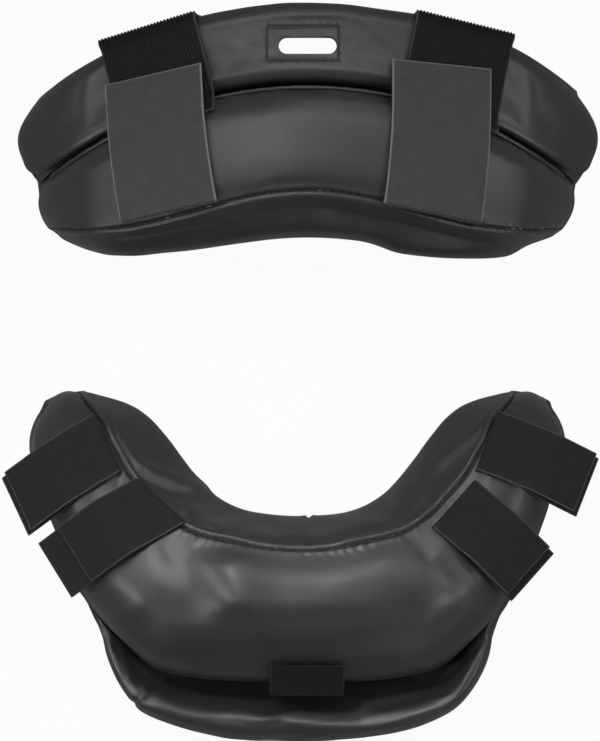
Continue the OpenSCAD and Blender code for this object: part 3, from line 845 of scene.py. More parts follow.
@dataclass
class Cushion:
    """One sewn cushion of a pad: a closed polygon of section points at each station, filled and then creased.

    The first `front` sides of the polygon show. The rest close it over the lining and in the joint to its
    neighbour.
    """

    name: str
    plan: Plan
    stations: Array
    polygon: Callable[[float], Array]
    parts: Sequence[int]
    front: int
    lines: dict[str, int]
    swell: Swell = field(default_factory=Swell)
    soften: int = 3
    grip: float = 0.06

    def rows(self) -> tuple[Array, dict[str, Array]]:
        """Points round the section at each station, and their marks.

        Returns:
            The points in millimetres, and for each line the distance from it along the skin.
        """
        every, marks = [], {key: [] for key in (*self.lines, "k", "held", "front", "run")}
        starts = np.concatenate([[0], np.cumsum(self.parts)])
        total = int(starts[-1])
        held = np.full(total, self.grip)
        held[int(starts[self.front]):] = 1.0
        for index in self.lines.values():
            held[int(starts[index]) % total] = 0.9
        for n, k in enumerate(self.stations):
            p = self.polygon(float(k))
            sides = zip(p, np.roll(p, -1, axis=0), self.parts)
            q = np.concatenate([a + (b - a) * (np.arange(count) / count)[:, None] for a, b, count in sides])
            for _ in range(self.soften):
                q = 0.5 * q + 0.25 * (np.roll(q, 1, axis=0) + np.roll(q, -1, axis=0))
            points = self.plan.place(float(k), q)
            gap = np.linalg.norm(np.roll(points, -1, axis=0) - points, axis=1)
            way = np.concatenate([[0.0], np.cumsum(gap)])
            for key, index in self.lines.items():
                away = way[:-1] - way[int(starts[index]) % total]
                marks[key].append((away + way[-1] / 2) % way[-1] - way[-1] / 2)
            near_end = min(n, len(self.stations) - 1 - n)
            marks["held"].append(np.maximum(held, (0.95, 0.5, 0.25)[near_end] if near_end < 3 else 0.0))
            marks["k"].append(np.full(total, k))
            marks["front"].append((np.arange(total) < starts[self.front]).astype(float))
            every.append(points)
        seam = int(starts[self.lines.get("seam", 0)]) % total
        path = np.array([points[seam] for points in every])
        marks["run"] = [np.full(total, way) for way in way_along(path)]
        return np.array(every), {key: np.array(value) for key, value in marks.items()}

    def skin(self, material: bpy.types.Material) -> bpy.types.Object:
        """Makes the skin alone."""
        rows, marks = self.rows()
        return sleeve(self.name, rows, marks, material)

    def build(self, material: bpy.types.Material) -> bpy.types.Object:
        """Makes the skin, fills it and rounds it with one subdivision."""
        piece = self.skin(material)
        self.swell.fill(piece, mark_of(piece.data, "held"))
        subdivide(piece)
        return piece


def crease(piece: bpy.types.Object, depth: Callable[[dict[str, Array], Array], Array], keys: Sequence[str]) -> None:
    """Moves a piece's skin along its normals.

    Args:
        piece: Piece to shape.
        depth: Gives the move in millimetres from the marks and the places in metres.
        keys: Marks that it reads.
    """
    mesh = piece.data
    places = points_of(mesh)
    marks = {key: mark_of(mesh, key) for key in keys}
    move = depth(marks, places)
    move_to(mesh, places + normals_of(mesh) * move[:, None] * MM)


def stitch_folds(away: Array, along: Array, pitch: float, reach: float) -> Array:
    """Small puckers beside a line of stitches.

    Args:
        away: Distance from the line in millimetres.
        along: Place along it in millimetres.
        pitch: Stitch pitch.
        reach: How far the puckers run out.

    Returns:
        Height of 0 to 1, highest between the stitches.
    """
    turn = 2 * math.pi * along / pitch + 0.9 * np.sin(along * 0.31) + 0.7 * np.sin(along * 0.13 + 1.0)
    return (0.5 + 0.5 * np.cos(turn)) * hill(np.abs(away) - 1.2, reach)


@dataclass(frozen=True)
class Fold:
    """Soft ridge or valley along a straight line in plan; its height is negative for a valley."""

    start: tuple[float, float]
    end: tuple[float, float]
    width: float
    height: float
    fade: float = 5.0

    def at(self, x: Array, y: Array) -> Array:
        """Height at each place in plan."""
        a, b = np.array(self.start), np.array(self.end)
        way = float(np.linalg.norm(b - a))
        ux, uy = (b - a) / max(way, 1e-6)
        along = (x - a[0]) * ux + (y - a[1]) * uy
        away = (y - a[1]) * ux - (x - a[0]) * uy
        past = np.maximum(np.maximum(-along, along - way), 0.0)
        return self.height * hill(away, self.width) * hill(past, self.fade)


def folded(folds: Sequence[Fold], places: Array) -> Array:
    """Sum of several folds at places in metres."""
    return sum(fold.at(places[:, 0] / MM, places[:, 1] / MM) for fold in folds)


def lining_section(a: float, b: float, thick: float) -> Array:
    """Section of a lining sheet from distance a to distance b, with rounded edges."""
    return np.array(
        [[a, 0.0], [a - 0.3, thick / 2], [a, thick], [b, thick], [b + 0.3, thick / 2], [b, 0.0]])


@dataclass
class ForeheadPad:
    """Forehead pad: a lower cushion with a wall under its seam, a thin upper cushion with a slot, and the lining."""

    plan: ForeheadPlan
    leather: bpy.types.Material
    lining: bpy.types.Material
    thread: bpy.types.Material
    stations: int = 131
    lining_thick: float = 1.0
    slot_length: float = 22.7
    slot_width: float = 6.6
    slot_drop: float = 16.7
    plate: tuple[float, float] = (28.0, 13.6)
    body: str = "forehead_pad"
    wall_folds: tuple[Fold, ...] = (
        Fold((-66, 50), (-34, 54), 4.0, -1.3, 8.0),
        Fold((-72, 56), (-36, 64), 3.2, 1.0, 8.0),
        Fold((17, 61), (64, 51), 4.5, -1.8, 9.0),
        Fold((40, 48), (80, 46), 4.0, 1.2, 9.0),
        Fold((-20, 62), (12, 64), 5.0, -0.8, 8.0),
        Fold((74, 52), (92, 58), 3.0, -0.9, 5.0),
        Fold((-92, 54), (-76, 48), 3.0, 0.8, 5.0),
    )

    def along(self, count: int, end: float = 1.0) -> Array:
        """Stations that crowd towards both ends."""
        return np.sin(np.linspace(-math.pi / 2, math.pi / 2, count)) * end

    def lower_polygon(self, k: float) -> Array:
        """Section of the lower cushion: back edge, wall, seam, front, groove, joint and back."""
        p = self.plan.section(k)
        g, h = p[11][0], p[10][1]
        roll = np.array([[g - 1.1, 0.93 * h], [g - 0.2, 0.78 * h], [g - 0.1, 0.4 * h], [g - 0.1, self.lining_thick]])
        front = p[:11].copy()
        low = smooth((k - 0.2) / 0.2) * (1 - smooth((k - 0.8) / 0.1)) + smooth((-k - 0.55) / 0.2)
        front[1:4, 0] -= np.array([1.2, 1.6, 0.6]) * low
        front[5:11, 1] += np.array([0.8, 0.2, -0.8, -0.8, 0.8, 1.5]) * h / 25
        front[0] = (5.0, self.lining_thick)
        front[1][1] = max(front[1][1], self.lining_thick * 1.2)
        return np.concatenate([front, roll])

    def upper_polygon(self, k: float) -> Array:
        """Section of the upper cushion: joint, groove, front, top rim and back."""
        p = self.plan.section(k)
        g, f, t = p[11][0], p[12][1], p[19][0]
        roll = np.array([[g + 0.1, 0.2 * f], [g + 0.15, 0.6 * f], [g + 0.8, 0.88 * f], [g + 2.2, 1.02 * f]])
        front = p[13:20].copy()
        front[2:5, 1] += np.array([0.05, 0.13, 0.16]) * p[12][1]
        wide = float(smooth((k - 0.25) / 0.2))
        front[3:6, 0] += np.array([0.6, 1.0, 0.0]) + np.array([0.6, 1.2, 1.2]) * wide
        front[-1] = (t, self.lining_thick)
        front[-2][1] = max(front[-2][1], self.lining_thick * 1.2)
        return np.concatenate([roll, front, [[g + 0.1, self.lining_thick]]])

    def lining_polygon(self, k: float) -> Array:
        """Section of the lining sheet."""
        p = self.plan.section(k)
        return lining_section(p[0][0] - 2.2, p[19][0] + 2.2, self.lining_thick)

    def slot_cutter(self) -> bpy.types.Object:
        """Prism with round ends that stands through the slot."""
        tool = bmesh.new()
        r = self.slot_width / 2
        bmesh.ops.create_circle(tool, cap_ends=True, segments=40, radius=r)
        for vert in tool.verts:
            if abs(vert.co.x) > 1e-4:
                vert.co.x += math.copysign((self.slot_length - self.slot_width) / 2, vert.co.x)
        faces = bmesh.ops.extrude_face_region(tool, geom=tool.faces[:])["geom"]
        bmesh.ops.translate(tool, verts=[v for v in faces if isinstance(v, bmesh.types.BMVert)], vec=(0, 0, 60))
        bmesh.ops.recalc_face_normals(tool, faces=tool.faces)
        x, y = self.plan.centre[0], self.plan.centre[1] + self.plan.height - self.slot_drop
        bmesh.ops.translate(tool, verts=tool.verts, vec=(x, y, 10))
        bmesh.ops.scale(tool, verts=tool.verts, vec=(MM, MM, MM))
        return new_object("slot_cutter", mesh_from(tool, "slot_cutter"), self.leather)

    def cut_slot(self, piece: bpy.types.Object) -> None:
        """Cuts the slot through a piece."""
        cutter = self.slot_cutter()
        cut = piece.modifiers.new("slot", "BOOLEAN")
        cut.operation, cut.solver, cut.object = "DIFFERENCE", "EXACT", cutter
        apply_modifiers(piece)
        bpy.data.objects.remove(cutter)

    def lower_relief(self, marks: dict[str, Array], places: Array) -> Array:
        """Seam valley, puckers, piped edge at the groove and folds of the lower cushion."""
        seam, groove, x = marks["seam"], marks["groove"], places[:, 0] / MM
        ends = 1 - smooth((np.abs(marks["k"]) - 0.93) / 0.07)
        valley = -0.9 * hill(seam, 0.9) + 0.35 * hill(seam + 2.0, 1.2) + 0.3 * hill(seam - 1.9, 1.1)
        puckers = 0.5 * stitch_folds(seam, x, 3.6, 1.7) * (0.5 + 0.5 * rumple(places, 14.0, 3.0))
        middle = smooth((46 - np.abs(x - self.plan.centre[0])) / 8)
        piping = 0.35 * hill(groove + 4.4, 1.6) - 0.7 * hill(groove + 2.2, 0.8)
        piping += 0.35 * stitch_folds(groove + 4.2, x, 4.1, 1.8) * (0.5 + rumple(places, 12.0, 9.0))
        wall = smooth((-seam - 2) / 8)
        folds = 0.5 * rumple(places, 26.0, 5.0, (0.45, 1.0, 1.6)) * wall + 0.2 * rumple(places, 34.0, 7.0)
        return (valley + puckers + piping * middle) * ends + (folded(self.wall_folds, places) * wall + folds)

    def round_plate(self, places: Array) -> tuple[Array, Array, Array]:
        """Place across and along the stiffener, and distance outside its edge."""
        x = places[:, 0] / MM - self.plan.centre[0] + 1.9
        y = places[:, 1] / MM - (self.plan.centre[1] + self.plan.height - self.slot_drop) - 0.9
        return x, y, np.maximum(np.abs(x) - self.plate[0] / 2, np.abs(y) - self.plate[1] / 2)

    def outline_plate(self, piece: bpy.types.Object) -> None:
        """Writes the sewn line round the stiffener into the upper cushion's marks."""
        places, mesh = points_of(piece.data), piece.data
        x, y, outside = self.round_plate(places)
        shown = (mark_of(mesh, "front") > 0.5) & (mark_of(mesh, "groove") > 8)
        put_mark(mesh, "seam", np.where(shown, outside, 30.0))
        put_mark(mesh, "run", x + y)

    def upper_relief(self, marks: dict[str, Array], places: Array) -> Array:
        """Pressed outline of the stiffener, puckers over it and soft folds of the upper cushion."""
        x, y, outside = self.round_plate(places)
        shown = marks["front"] * smooth((marks["groove"] - 8) / 4)
        outline = -0.4 * hill(outside, 0.8)
        tucks = 0.45 * stitch_folds(outside - 1.5, x, 3.4, 1.8) * smooth((y - 3) / 3) * smooth((x + 4) / 5)
        side = smooth((np.abs(x) - 42) / 12)
        roll = 0.9 * side * hill(marks["groove"] - 3.4, 2.0) - 0.5 * side * hill(marks["groove"] - 8.5, 2.6)
        folds = 0.3 * rumple(places, 30.0, 11.0, (0.6, 1.0, 1.0)) + 0.12 * rumple(places, 11.0, 13.0)
        return (outline + tucks) * shown + roll + folds * smooth((np.abs(outside) + 1) / 6)

    def piping(self) -> bpy.types.Object:
        """Makes the thin cord sewn along the lower cushion's edge in the groove."""
        turn = np.linspace(0, 2 * math.pi, 12, endpoint=False)
        rows = []
        for k in np.sin(np.linspace(-1.28, 1.28, 260)):
            p = self.plan.section(float(k))
            centre = np.array([p[11][0] - 0.5, 0.94 * p[10][1]])
            size = 0.8 + 0.08 * math.sin(k * 97.0)
            rows.append(self.plan.place(float(k), centre + size * np.stack([np.cos(turn), np.sin(turn)], axis=1)))
        cord = sleeve("forehead_piping", np.array(rows), {"seam": np.full((len(rows), 12), 30.0)}, self.leather)
        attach(cord, self.body)
        return cord

    def build(self) -> list[bpy.types.Object]:
        """Makes the cushions, the lining, the piping and the stitches."""
        near = self.along(self.stations)
        lower = Cushion(
            "forehead_lower_cushion", self.plan, near * 0.99, self.lower_polygon,
            (2, 2, 4, 5, 6, 6, 5, 6, 6, 5, 3, 3, 3, 5, 12), 13, {"seam": 5, "groove": 12}, Swell(spare=0.002, cap=0.7))
        upper = Cushion(
            "forehead_upper_cushion", self.plan, near, self.upper_polygon,
            (3, 3, 3, 5, 7, 9, 6, 5, 3, 3, 10, 3), 10, {"groove": 1}, Swell(spare=0.001, cap=0.5), grip=0.12)
        pieces = []
        body = lower.build(self.leather)
        crease(body, self.lower_relief, ("seam", "groove", "k"))
        seam, ditch = mark_of(body.data, "seam"), mark_of(body.data, "groove") + 2.2
        put_mark(body.data, "seam", np.where(np.abs(ditch) < np.abs(seam), ditch, seam))
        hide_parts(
            "forehead_lower_cover", "forehead_wall_cover", "forehead_impact_foam", "forehead_comfort_foam")
        pieces.append(body)
        flap = upper.build(self.leather)
        crease(flap, self.upper_relief, ("groove", "front"))
        self.outline_plate(flap)
        self.cut_slot(flap)
        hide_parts("forehead_upper_cover", "forehead_upper_foam", "slot_stiffener")
        pieces.append(flap)
        lining = Cushion(
            "forehead_lining", self.plan, self.along(61, 0.985), self.lining_polygon,
            (1, 1, 24, 1, 1, 24), 6, {}, soften=0)
        sheet = lining.skin(self.lining)
        self.cut_slot(sheet)
        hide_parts("forehead_back_lining")
        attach(sheet, self.body)
        for piece in pieces:
            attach(piece, self.body)
        path = self.plan.line(5, 1.0, -0.93, 0.93, 400)
        row = stitch_row("forehead_seam_stitches", path, ground_under([body]), self.thread, self.body)
        return [*pieces, sheet, row, self.piping()]


@dataclass
class ChinPad:
    """Chin pad: inner band and front cushion over a lip cushion, and the lining."""

    plan: ChinPlan
    leather: bpy.types.Material
    lining: bpy.types.Material
    thread: bpy.types.Material
    stations: int = 161
    lining_thick: float = 1.0
    joint_x: float = 3.5
    body: str = "chin_pad"
    front_folds: tuple[Fold, ...] = (
        Fold((-26, -78), (-25, -90), 10.0, 2.1, 7.0),
        Fold((-47, -74), (-44, -92), 8.0, -1.0, 7.0),
        Fold((-72, -84), (-66, -92), 11.0, 1.3, 6.0),
        Fold((4, -80), (8, -96), 15.0, -1.0, 8.0),
        Fold((36, -74), (52, -88), 9.0, 1.0, 7.0),
        Fold((70, -72), (76, -86), 7.0, -0.9, 6.0),
        Fold((-40, -70), (-18, -100), 3.0, -0.35, 8.0),
        Fold((44, -66), (58, -82), 2.6, -0.4, 6.0),
    )
    band_folds: tuple[Fold, ...] = (
        Fold((-65, -42), (-39, -51), 2.6, -1.1, 4.0),
        Fold((-62, -38), (-38, -46), 2.6, 0.8, 4.0),
        Fold((-55, -52), (-37, -64), 1.8, -0.7, 4.0),
        Fold((-50, -60), (-30, -62), 1.8, 0.6, 4.0),
        Fold((-82, -18), (-64, -36), 3.2, 1.0, 6.0),
        Fold((56, -40), (40, -56), 3.0, -1.0, 5.0),
        Fold((72, -22), (56, -34), 3.0, 0.9, 6.0),
        Fold((20, -66), (34, -60), 1.8, -0.5, 4.0),
    )
    lip_folds: tuple[Fold, ...] = (
        Fold((-64.5, -130), (-55.5, -122), 1.2, -1.2, 2.0),
        Fold((-60, -132), (-40, -136), 3.0, 0.7, 5.0),
        Fold((-24, -136), (18, -140), 2.6, 0.6, 6.0),
        Fold((24, -134), (54, -126), 2.4, -0.6, 6.0),
        Fold((58, -118), (70, -104), 2.2, 0.7, 5.0),
        Fold((30, -140), (50, -134), 2.4, 0.6, 5.0),
    )

    def along(self, count: int, end: float = ChinPlan.last) -> Array:
        """Stations that crowd towards the tips of the arms."""
        t = np.linspace(-1, 1, count)
        return np.sign(t) * end * (1 - (1 - np.abs(t)) ** 1.25)

    def front_polygon(self, k: float) -> Array:
        """Section of the front cushion: inner edge, band, seam, front, crease and back."""
        p, lip = self.plan.section(k), self.plan.lip_share(k)
        f, top = p[12][0], p[11][1]
        front = p[:12].copy()
        front[0][1] = self.lining_thick
        front[1][1] = max(front[1][1], self.lining_thick * 1.2)
        arm = (1 - lip) * float(smooth((abs(k) - 4.6) / 1.4) * (1 - smooth((abs(k) - 8.4) / 0.5)))
        front[9:, 0] += arm * np.array([0.4, 1.0, 1.6])
        f += 1.6 * arm
        roll = np.array([[f - 0.4, 0.66 * top], [f - 2.2 * lip - 0.8, 0.46 * top], [f - 5.5 * lip - 1.0, 0.3 * top],
                         [f - 8.0 * lip - 1.2, self.lining_thick]])
        roll[:, 1] = np.maximum(roll[:, 1], self.lining_thick)
        return np.concatenate([front, roll])

    def lip_polygon(self, k: float) -> Array:
        """Section of the lip cushion: crease, crown, outer edge and back."""
        p, lip = self.plan.section(k), self.plan.lip_share(k)
        f, e, l = p[12][0], p[14:18, 1], p[19][0]
        start = np.array([[f - 6.0 * lip - 0.7, 0.15 * e[0] * lip + 0.9 * e[0] * (1 - lip)],
                          [f - 2.5 * lip - 0.5, 0.22 * e[0] * lip + 1.05 * e[0] * (1 - lip)]])
        back = np.array([[l + 1.0 + 0.6 * lip, self.lining_thick], [f - 6.0 * lip - 0.7, self.lining_thick]])
        front = p[14:19].copy()
        front[:, 1] *= 1 + lip * np.array([-0.55, -0.22, 0.02, 0.1, 0.0])
        front[:, 0] += lip * np.array([0.0, 0.2, 0.9, 2.0, 1.4])
        side = float(smooth((-k - 2.6) / 0.8) * (1 - smooth((-k - 5.0) / 0.6)))
        front[:3, 1] *= 1 - side * np.array([0.3, 0.25, 0.1])
        start[:, 1] *= 1 - 0.5 * side
        out = np.concatenate([start, front, back])
        out[:, 1] = np.maximum(out[:, 1], self.lining_thick)
        return out

    def lining_polygon(self, k: float) -> Array:
        """Section of the lining sheet."""
        p = self.plan.section(k)
        return lining_section(p[0][0] - 1.6, p[19][0] + 2.0, self.lining_thick)

    def front_relief(self, marks: dict[str, Array], places: Array) -> Array:
        """Rolled seam ridge, puckers, the sewn joint of the inner band, and folds of the front cushion."""
        seam, x, y, k = marks["seam"], places[:, 0] / MM, places[:, 1] / MM, marks["k"]
        along = x + 0.8 * y * np.sign(x)
        ends = 1 - smooth((np.abs(k) - 8.5) / 0.5)
        valley = -1.1 * hill(seam, 0.75) + 0.75 * hill(seam + 1.7, 1.0) + 0.25 * hill(seam - 1.9, 1.1)
        middle = smooth((52 - np.abs(x)) / 10)
        puckers = (0.5 * middle + 0.25) * stitch_folds(seam - 1.0, along, 4.4, 2.2)
        puckers = puckers * (0.5 + 0.6 * rumple(places, 16.0, 21.0))
        beside = x - self.joint_x
        joint = -0.9 * hill(beside, 0.7) + 0.3 * hill(np.abs(beside) - 1.8, 1.0)
        joint = joint * smooth((-seam - 1) / 2) * smooth((y + 74) / 3)
        band = smooth((-seam - 1) / 5)
        folds = (0.5 * rumple(places, 24.0, 23.0, (1.0, 0.6, 1.2)) + folded(self.band_folds, places)) * band
        front = 0.14 * rumple(places, 13.0, 27.0) + folded(self.front_folds, places)
        folds += 0.3 * rumple(places, 36.0, 25.0) + front * (1 - band)
        return (valley + puckers) * ends + joint + folds

    def lip_relief(self, marks: dict[str, Array], places: Array) -> Array:
        """Folds of the lip and the dart at its left."""
        folds = 0.35 * rumple(places, 24.0, 31.0) + 0.16 * rumple(places, 10.0, 33.0, (1.0, 1.0, 0.6))
        return (folded(self.lip_folds, places) + folds) * smooth(marks["crease"] / 4) * marks["front"]

    def build(self) -> list[bpy.types.Object]:
        """Makes the cushions and the lining."""
        near = self.along(self.stations)
        front = Cushion(
            "chin_front_cushion", self.plan, near, self.front_polygon,
            (2, 2, 4, 5, 6, 6, 6, 7, 7, 6, 5, 4, 3, 3, 3, 12), 14, {"seam": 5, "crease": 13},
            Swell(spare=0.003, cap=1.5))
        lip = Cushion(
            "chin_lip_cushion", self.plan, near, self.lip_polygon, (3, 4, 6, 6, 5, 4, 3, 9, 3), 7, {"crease": 1},
            Swell(spare=0.007, cap=1.0), grip=0.12)
        body = front.build(self.leather)
        crease(body, self.front_relief, ("seam", "k"))
        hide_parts("chin_front_cover", "chin_left_inner_band", "chin_right_inner_band", "chin_impact_foam")
        edge = lip.build(self.leather)
        crease(edge, self.lip_relief, ("crease", "front"))
        put_mark(edge.data, "seam", np.full(len(edge.data.vertices), 30.0))
        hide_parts("chin_lip_cover", "chin_comfort_foam")
        lining = Cushion(
            "chin_lining", self.plan, self.along(71, 8.9), self.lining_polygon,
            (1, 1, 20, 1, 1, 20), 6, {}, soften=0)
        sheet = lining.skin(self.lining)
        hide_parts("chin_back_lining")
        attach(sheet, self.body)
        for piece in (body, edge):
            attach(piece, self.body)
        path = self.plan.line(5, 1.2, -3.6, 3.9, 300)
        row = stitch_row("chin_seam_stitches", path, ground_under([body]), self.thread, self.body, 3.1, 1.5)
        return [body, edge, sheet, row]


# ---------- stitches and tapes ----------


def ground_under(pieces: Sequence[bpy.types.Object]) -> BVHTree:
    """Tree of the finished skins of several pieces, for laying things on them."""
    heap = bmesh.new()
    for piece in pieces:
        heap.from_mesh(piece.data)
    tree = BVHTree.FromBMesh(heap)
    heap.free()
    return tree


def stitch_row(
    name: str,
    path: Array,
    ground: BVHTree,
    material: bpy.types.Material,
    body: str,
    pitch: float = 3.4,
    length: float = 2.2,
) -> bpy.types.Object:
    """Makes a row of thread stitches that lie along a path on the skin.

    Args:
        name: Name of the piece.
        path: Points of the path in millimetres.
        ground: Skin that they lie on.
        material: Thread.
        body: Body that the row rides on.
        pitch: Distance between stitches.
        length: Length of one stitch.

    Returns:
        The row as one object.
    """
    thick = 0.5
    way = way_along(path)
    row = bmesh.new()
    for n in range(int(way[-1] / pitch)):
        ends = []
        for at in (n * pitch, n * pitch + length):
            p = Vector([np.interp(at, way, path[:, axis]) for axis in range(3)])
            spot, normal, _, _ = ground.find_nearest(p * MM)
            ends.append(spot / MM + normal * (thick * 0.35))
        v = ends[1] - ends[0]
        if v.length < 0.5:
            continue
        made = bmesh.ops.create_uvsphere(row, u_segments=8, v_segments=6, radius=0.5)["verts"]
        turn = v.to_track_quat("Z", "Y").to_matrix().to_4x4()
        shape = Matrix.Translation((ends[0] + ends[1]) / 2) @ turn @ Matrix.Diagonal((thick, thick, v.length, 1.0))
        bmesh.ops.transform(row, matrix=Matrix.Scale(MM, 4) @ shape, verts=made)
    for face in row.faces:
        face.smooth = True
    piece = new_object(name, mesh_from(row, name), material)
    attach(piece, body)
    return piece


@dataclass
class Seat:
    """Place and directions of a tape's hem: x along the hem, y along the tape and z off the pad."""

    origin: Array
    x: Array
    y: Array
    z: Array

    @classmethod
    def of(cls, frame: dict[str, object], node: str) -> "Seat":
        """Reads the hem from the hinge of the body that the tape is."""
        joint = next(j for j in frame["joints"] if j["child"] == node)
        x = np.array(joint["axis"], dtype=float)
        x /= np.linalg.norm(x)
        y = np.array([-x[1], x[0], 0.0]) / math.hypot(x[0], x[1])
        return cls(np.array(joint["pos_m"], dtype=float) / MM, x, y, np.cross(x, y))

    def at(self, x: float, y: float, z: float) -> Array:
        """A place from its three distances."""
        return self.origin + x * self.x + y * self.y + z * self.z


@dataclass
class Tape:
    """A strip of hook-and-loop tape with a rolled hem, woven edges and a path that rests on what is under it."""

    node: str
    width: float
    length: float
    lean: float = 0.0
    skew: float = 0.0
    thick: float = 1.3
    start: tuple[tuple[float, float], ...] = ((0.0, 0.0),)
    drop: float = 0.45
    lift: float = 0.35
    ribs: float = 0.0
    rib_height: float = 0.0
    teeth: float = 0.0
    hem: float = 1.0
    free_path: tuple[tuple[float, float], ...] = ()

    def heights(self, seat: Seat, ground: BVHTree, ys: Array) -> Array:
        """Lowest heights at which the tape clears what is under it, for each distance from the hem."""
        rise = []
        slope = math.tan(math.radians(self.lean))
        for y in ys:
            best = -99.0
            for x in np.linspace(-self.width / 2, self.width / 2, 9):
                top = seat.at(x + y * slope, float(y), ABOVE)
                hit, _, _, away = ground.ray_cast(Vector(top) * MM, Vector(-seat.z), RAY)
                if hit is not None:
                    best = max(best, ABOVE - away / MM)
            rise.append(best + self.lift + self.thick / 2)
        rise = np.array(rise)
        return np.array([max(rise[i] - self.drop * abs(y - ys[i]) for i in range(len(ys))) for y in ys])

    def path(self, seat: Seat, ground: BVHTree) -> Array:
        """Side view of the tape from its hem as (distance, height), one point a millimetre or so."""
        if self.free_path:
            p = np.array(self.free_path)
        else:
            first = self.start[-1][0] + 4.0 if len(self.start) == 1 else self.start[-1][0] + 1.0
            first = max(first, 3.0)
            ys = np.linspace(first, self.length, max(6, int((self.length - first) / 2.0)))
            p = np.concatenate([np.array(self.start), np.stack([ys, self.heights(seat, ground, ys)], axis=1)])
        way = way_along(p)
        fine = np.linspace(0.0, way[-1], max(14, int(way[-1] / 0.9)))
        q = np.stack([np.interp(fine, way, p[:, axis]) for axis in (0, 1)], axis=1)
        for _ in range(6):
            q[1:-1] = 0.5 * q[1:-1] + 0.25 * (q[:-2] + q[2:])
        return q

    def build(self, seat: Seat, ground: BVHTree, finish: TapeFinish) -> bpy.types.Object:
        """Makes the tape.

        Args:
            seat: Hem of the tape.
            ground: What the tape lies on.
            finish: Its material.

        Returns:
            The object, with a UV map in millimetres.
        """
        p = self.path(seat, ground)
        way = way_along(p)
        slope, turn = math.tan(math.radians(self.lean)), math.tan(math.radians(self.skew))
        half = self.width / 2 / math.cos(math.radians(self.lean))
        columns = round(half * 8 / self.ribs) if self.ribs else int(self.width / 1.2)
        across = np.linspace(-1.0, 1.0, columns + 1)
        edge = np.array([-1.0, -1.006, -1.0])
        around = np.concatenate([across, -edge[1:2], across[::-1], edge[1:2]])
        over = np.concatenate([np.ones(columns + 1), [0.0], -np.ones(columns + 1), [0.0]])
        side = around * half
        rows, us, vs = [], [], []
        for i, (y, z) in enumerate(p):
            back, ahead = p[max(i - 1, 0)], p[min(i + 1, len(p) - 1)]
            t = (ahead - back) / np.linalg.norm(ahead - back)
            roll = self.hem * float(hill(way[i] - self.hem * 0.8, self.hem * 1.1)) if not self.ribs else 0.0
            thin = 0.55 if i in (0, len(p) - 1) else 1.0
            near = np.minimum((1 - np.abs(around)) * half, min(way[i], way[-1] - way[i]) + 0.3)
            body = (self.thick / 2 * thin + roll * 0.5) * np.sqrt(np.clip(near / 0.5 + 0.35, 0.0, 1.0))
            comb = 0.0
            if self.ribs:
                tall = self.rib_height + self.teeth * float(hill(way[i] - 9.0, 1.8))
                comb = tall * np.abs(np.sin(np.pi * side / self.ribs)) * (over > 0)
            reach = y + side * turn * (y / max(self.length, 1.0))
            off = over * body + comb * thin
            x = side + reach * slope
            y_off, z_off = reach - off * t[1], z + off * t[0]
            rows.append(seat.origin + np.outer(x, seat.x) + np.outer(y_off, seat.y) + np.outer(z_off, seat.z))
            us.append(side)
            vs.append(np.full(len(around), way[i]))
        name = self.node.replace("_tape", "") + "_strip"
        marks = {"u": np.array(us), "v": np.array(vs)}
        piece = sleeve(name, np.array(rows), marks, finish.make(half * 2, float(way[-1])), uv="tape")
        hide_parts(self.node)
        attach(piece, self.node)
        return piece

    def foot(self, seat: Seat, ground: BVHTree, finish: TapeFinish) -> bpy.types.Object:
        """Makes the sewn end of the tape, which stands in the seam under the hem and stays there."""
        half, deep = 0.55, 6.0
        rows = []
        for x in np.linspace(0.3 - self.width / 2, self.width / 2 - 0.3, 25):
            hit, _, _, away = ground.ray_cast(Vector(seat.at(float(x), 0.0, ABOVE)) * MM, Vector(-seat.z), RAY)
            low = max(min(ABOVE - away / MM, 0.0) - 1.5, -deep) if hit is not None else -deep
            corners = ((-half, 0.1), (-half, low), (half, low), (half, 0.1))
            rows.append([seat.at(float(x), y, z) for y, z in corners])
        u = np.repeat(np.linspace(-0.4, 0.4, 25)[:, None] * self.width, 4, axis=1)
        marks = {"u": u, "v": np.full((25, 4), 2.0)}
        name = self.node.replace("_tape", "") + "_foot"
        piece = sleeve(name, np.array(rows), marks, finish.make(self.width, 9.0), uv="tape")
        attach(piece, "forehead_pad" if "forehead" in self.node else "chin_pad")
        return piece


class Finish(Enum):
    """Kinds of tape on the pads."""

    LOOP = TapeFinish("wide_loop_tape", 58.0, 118.0, 1.05, 0.2, 0.7, 0.78, 0.4)
    HOOK = TapeFinish("ribbed_hook_tape", 9.0, 60.0, 1.4, 0.5, 0.15, 0.62)
    BRUSHED = TapeFinish("brushed_tape", 23.0, 70.0, 0.9, 0.12, 0.5, 0.8)
    FUZZY = TapeFinish("fuzzy_loop_tape", 28.0, 54.0, 1.1, 0.1, 1.3, 0.9)
    TAB = TapeFinish("fuzzy_tab_tape", 10.0, 40.0, 1.1, 0.1, 1.7, 0.9)


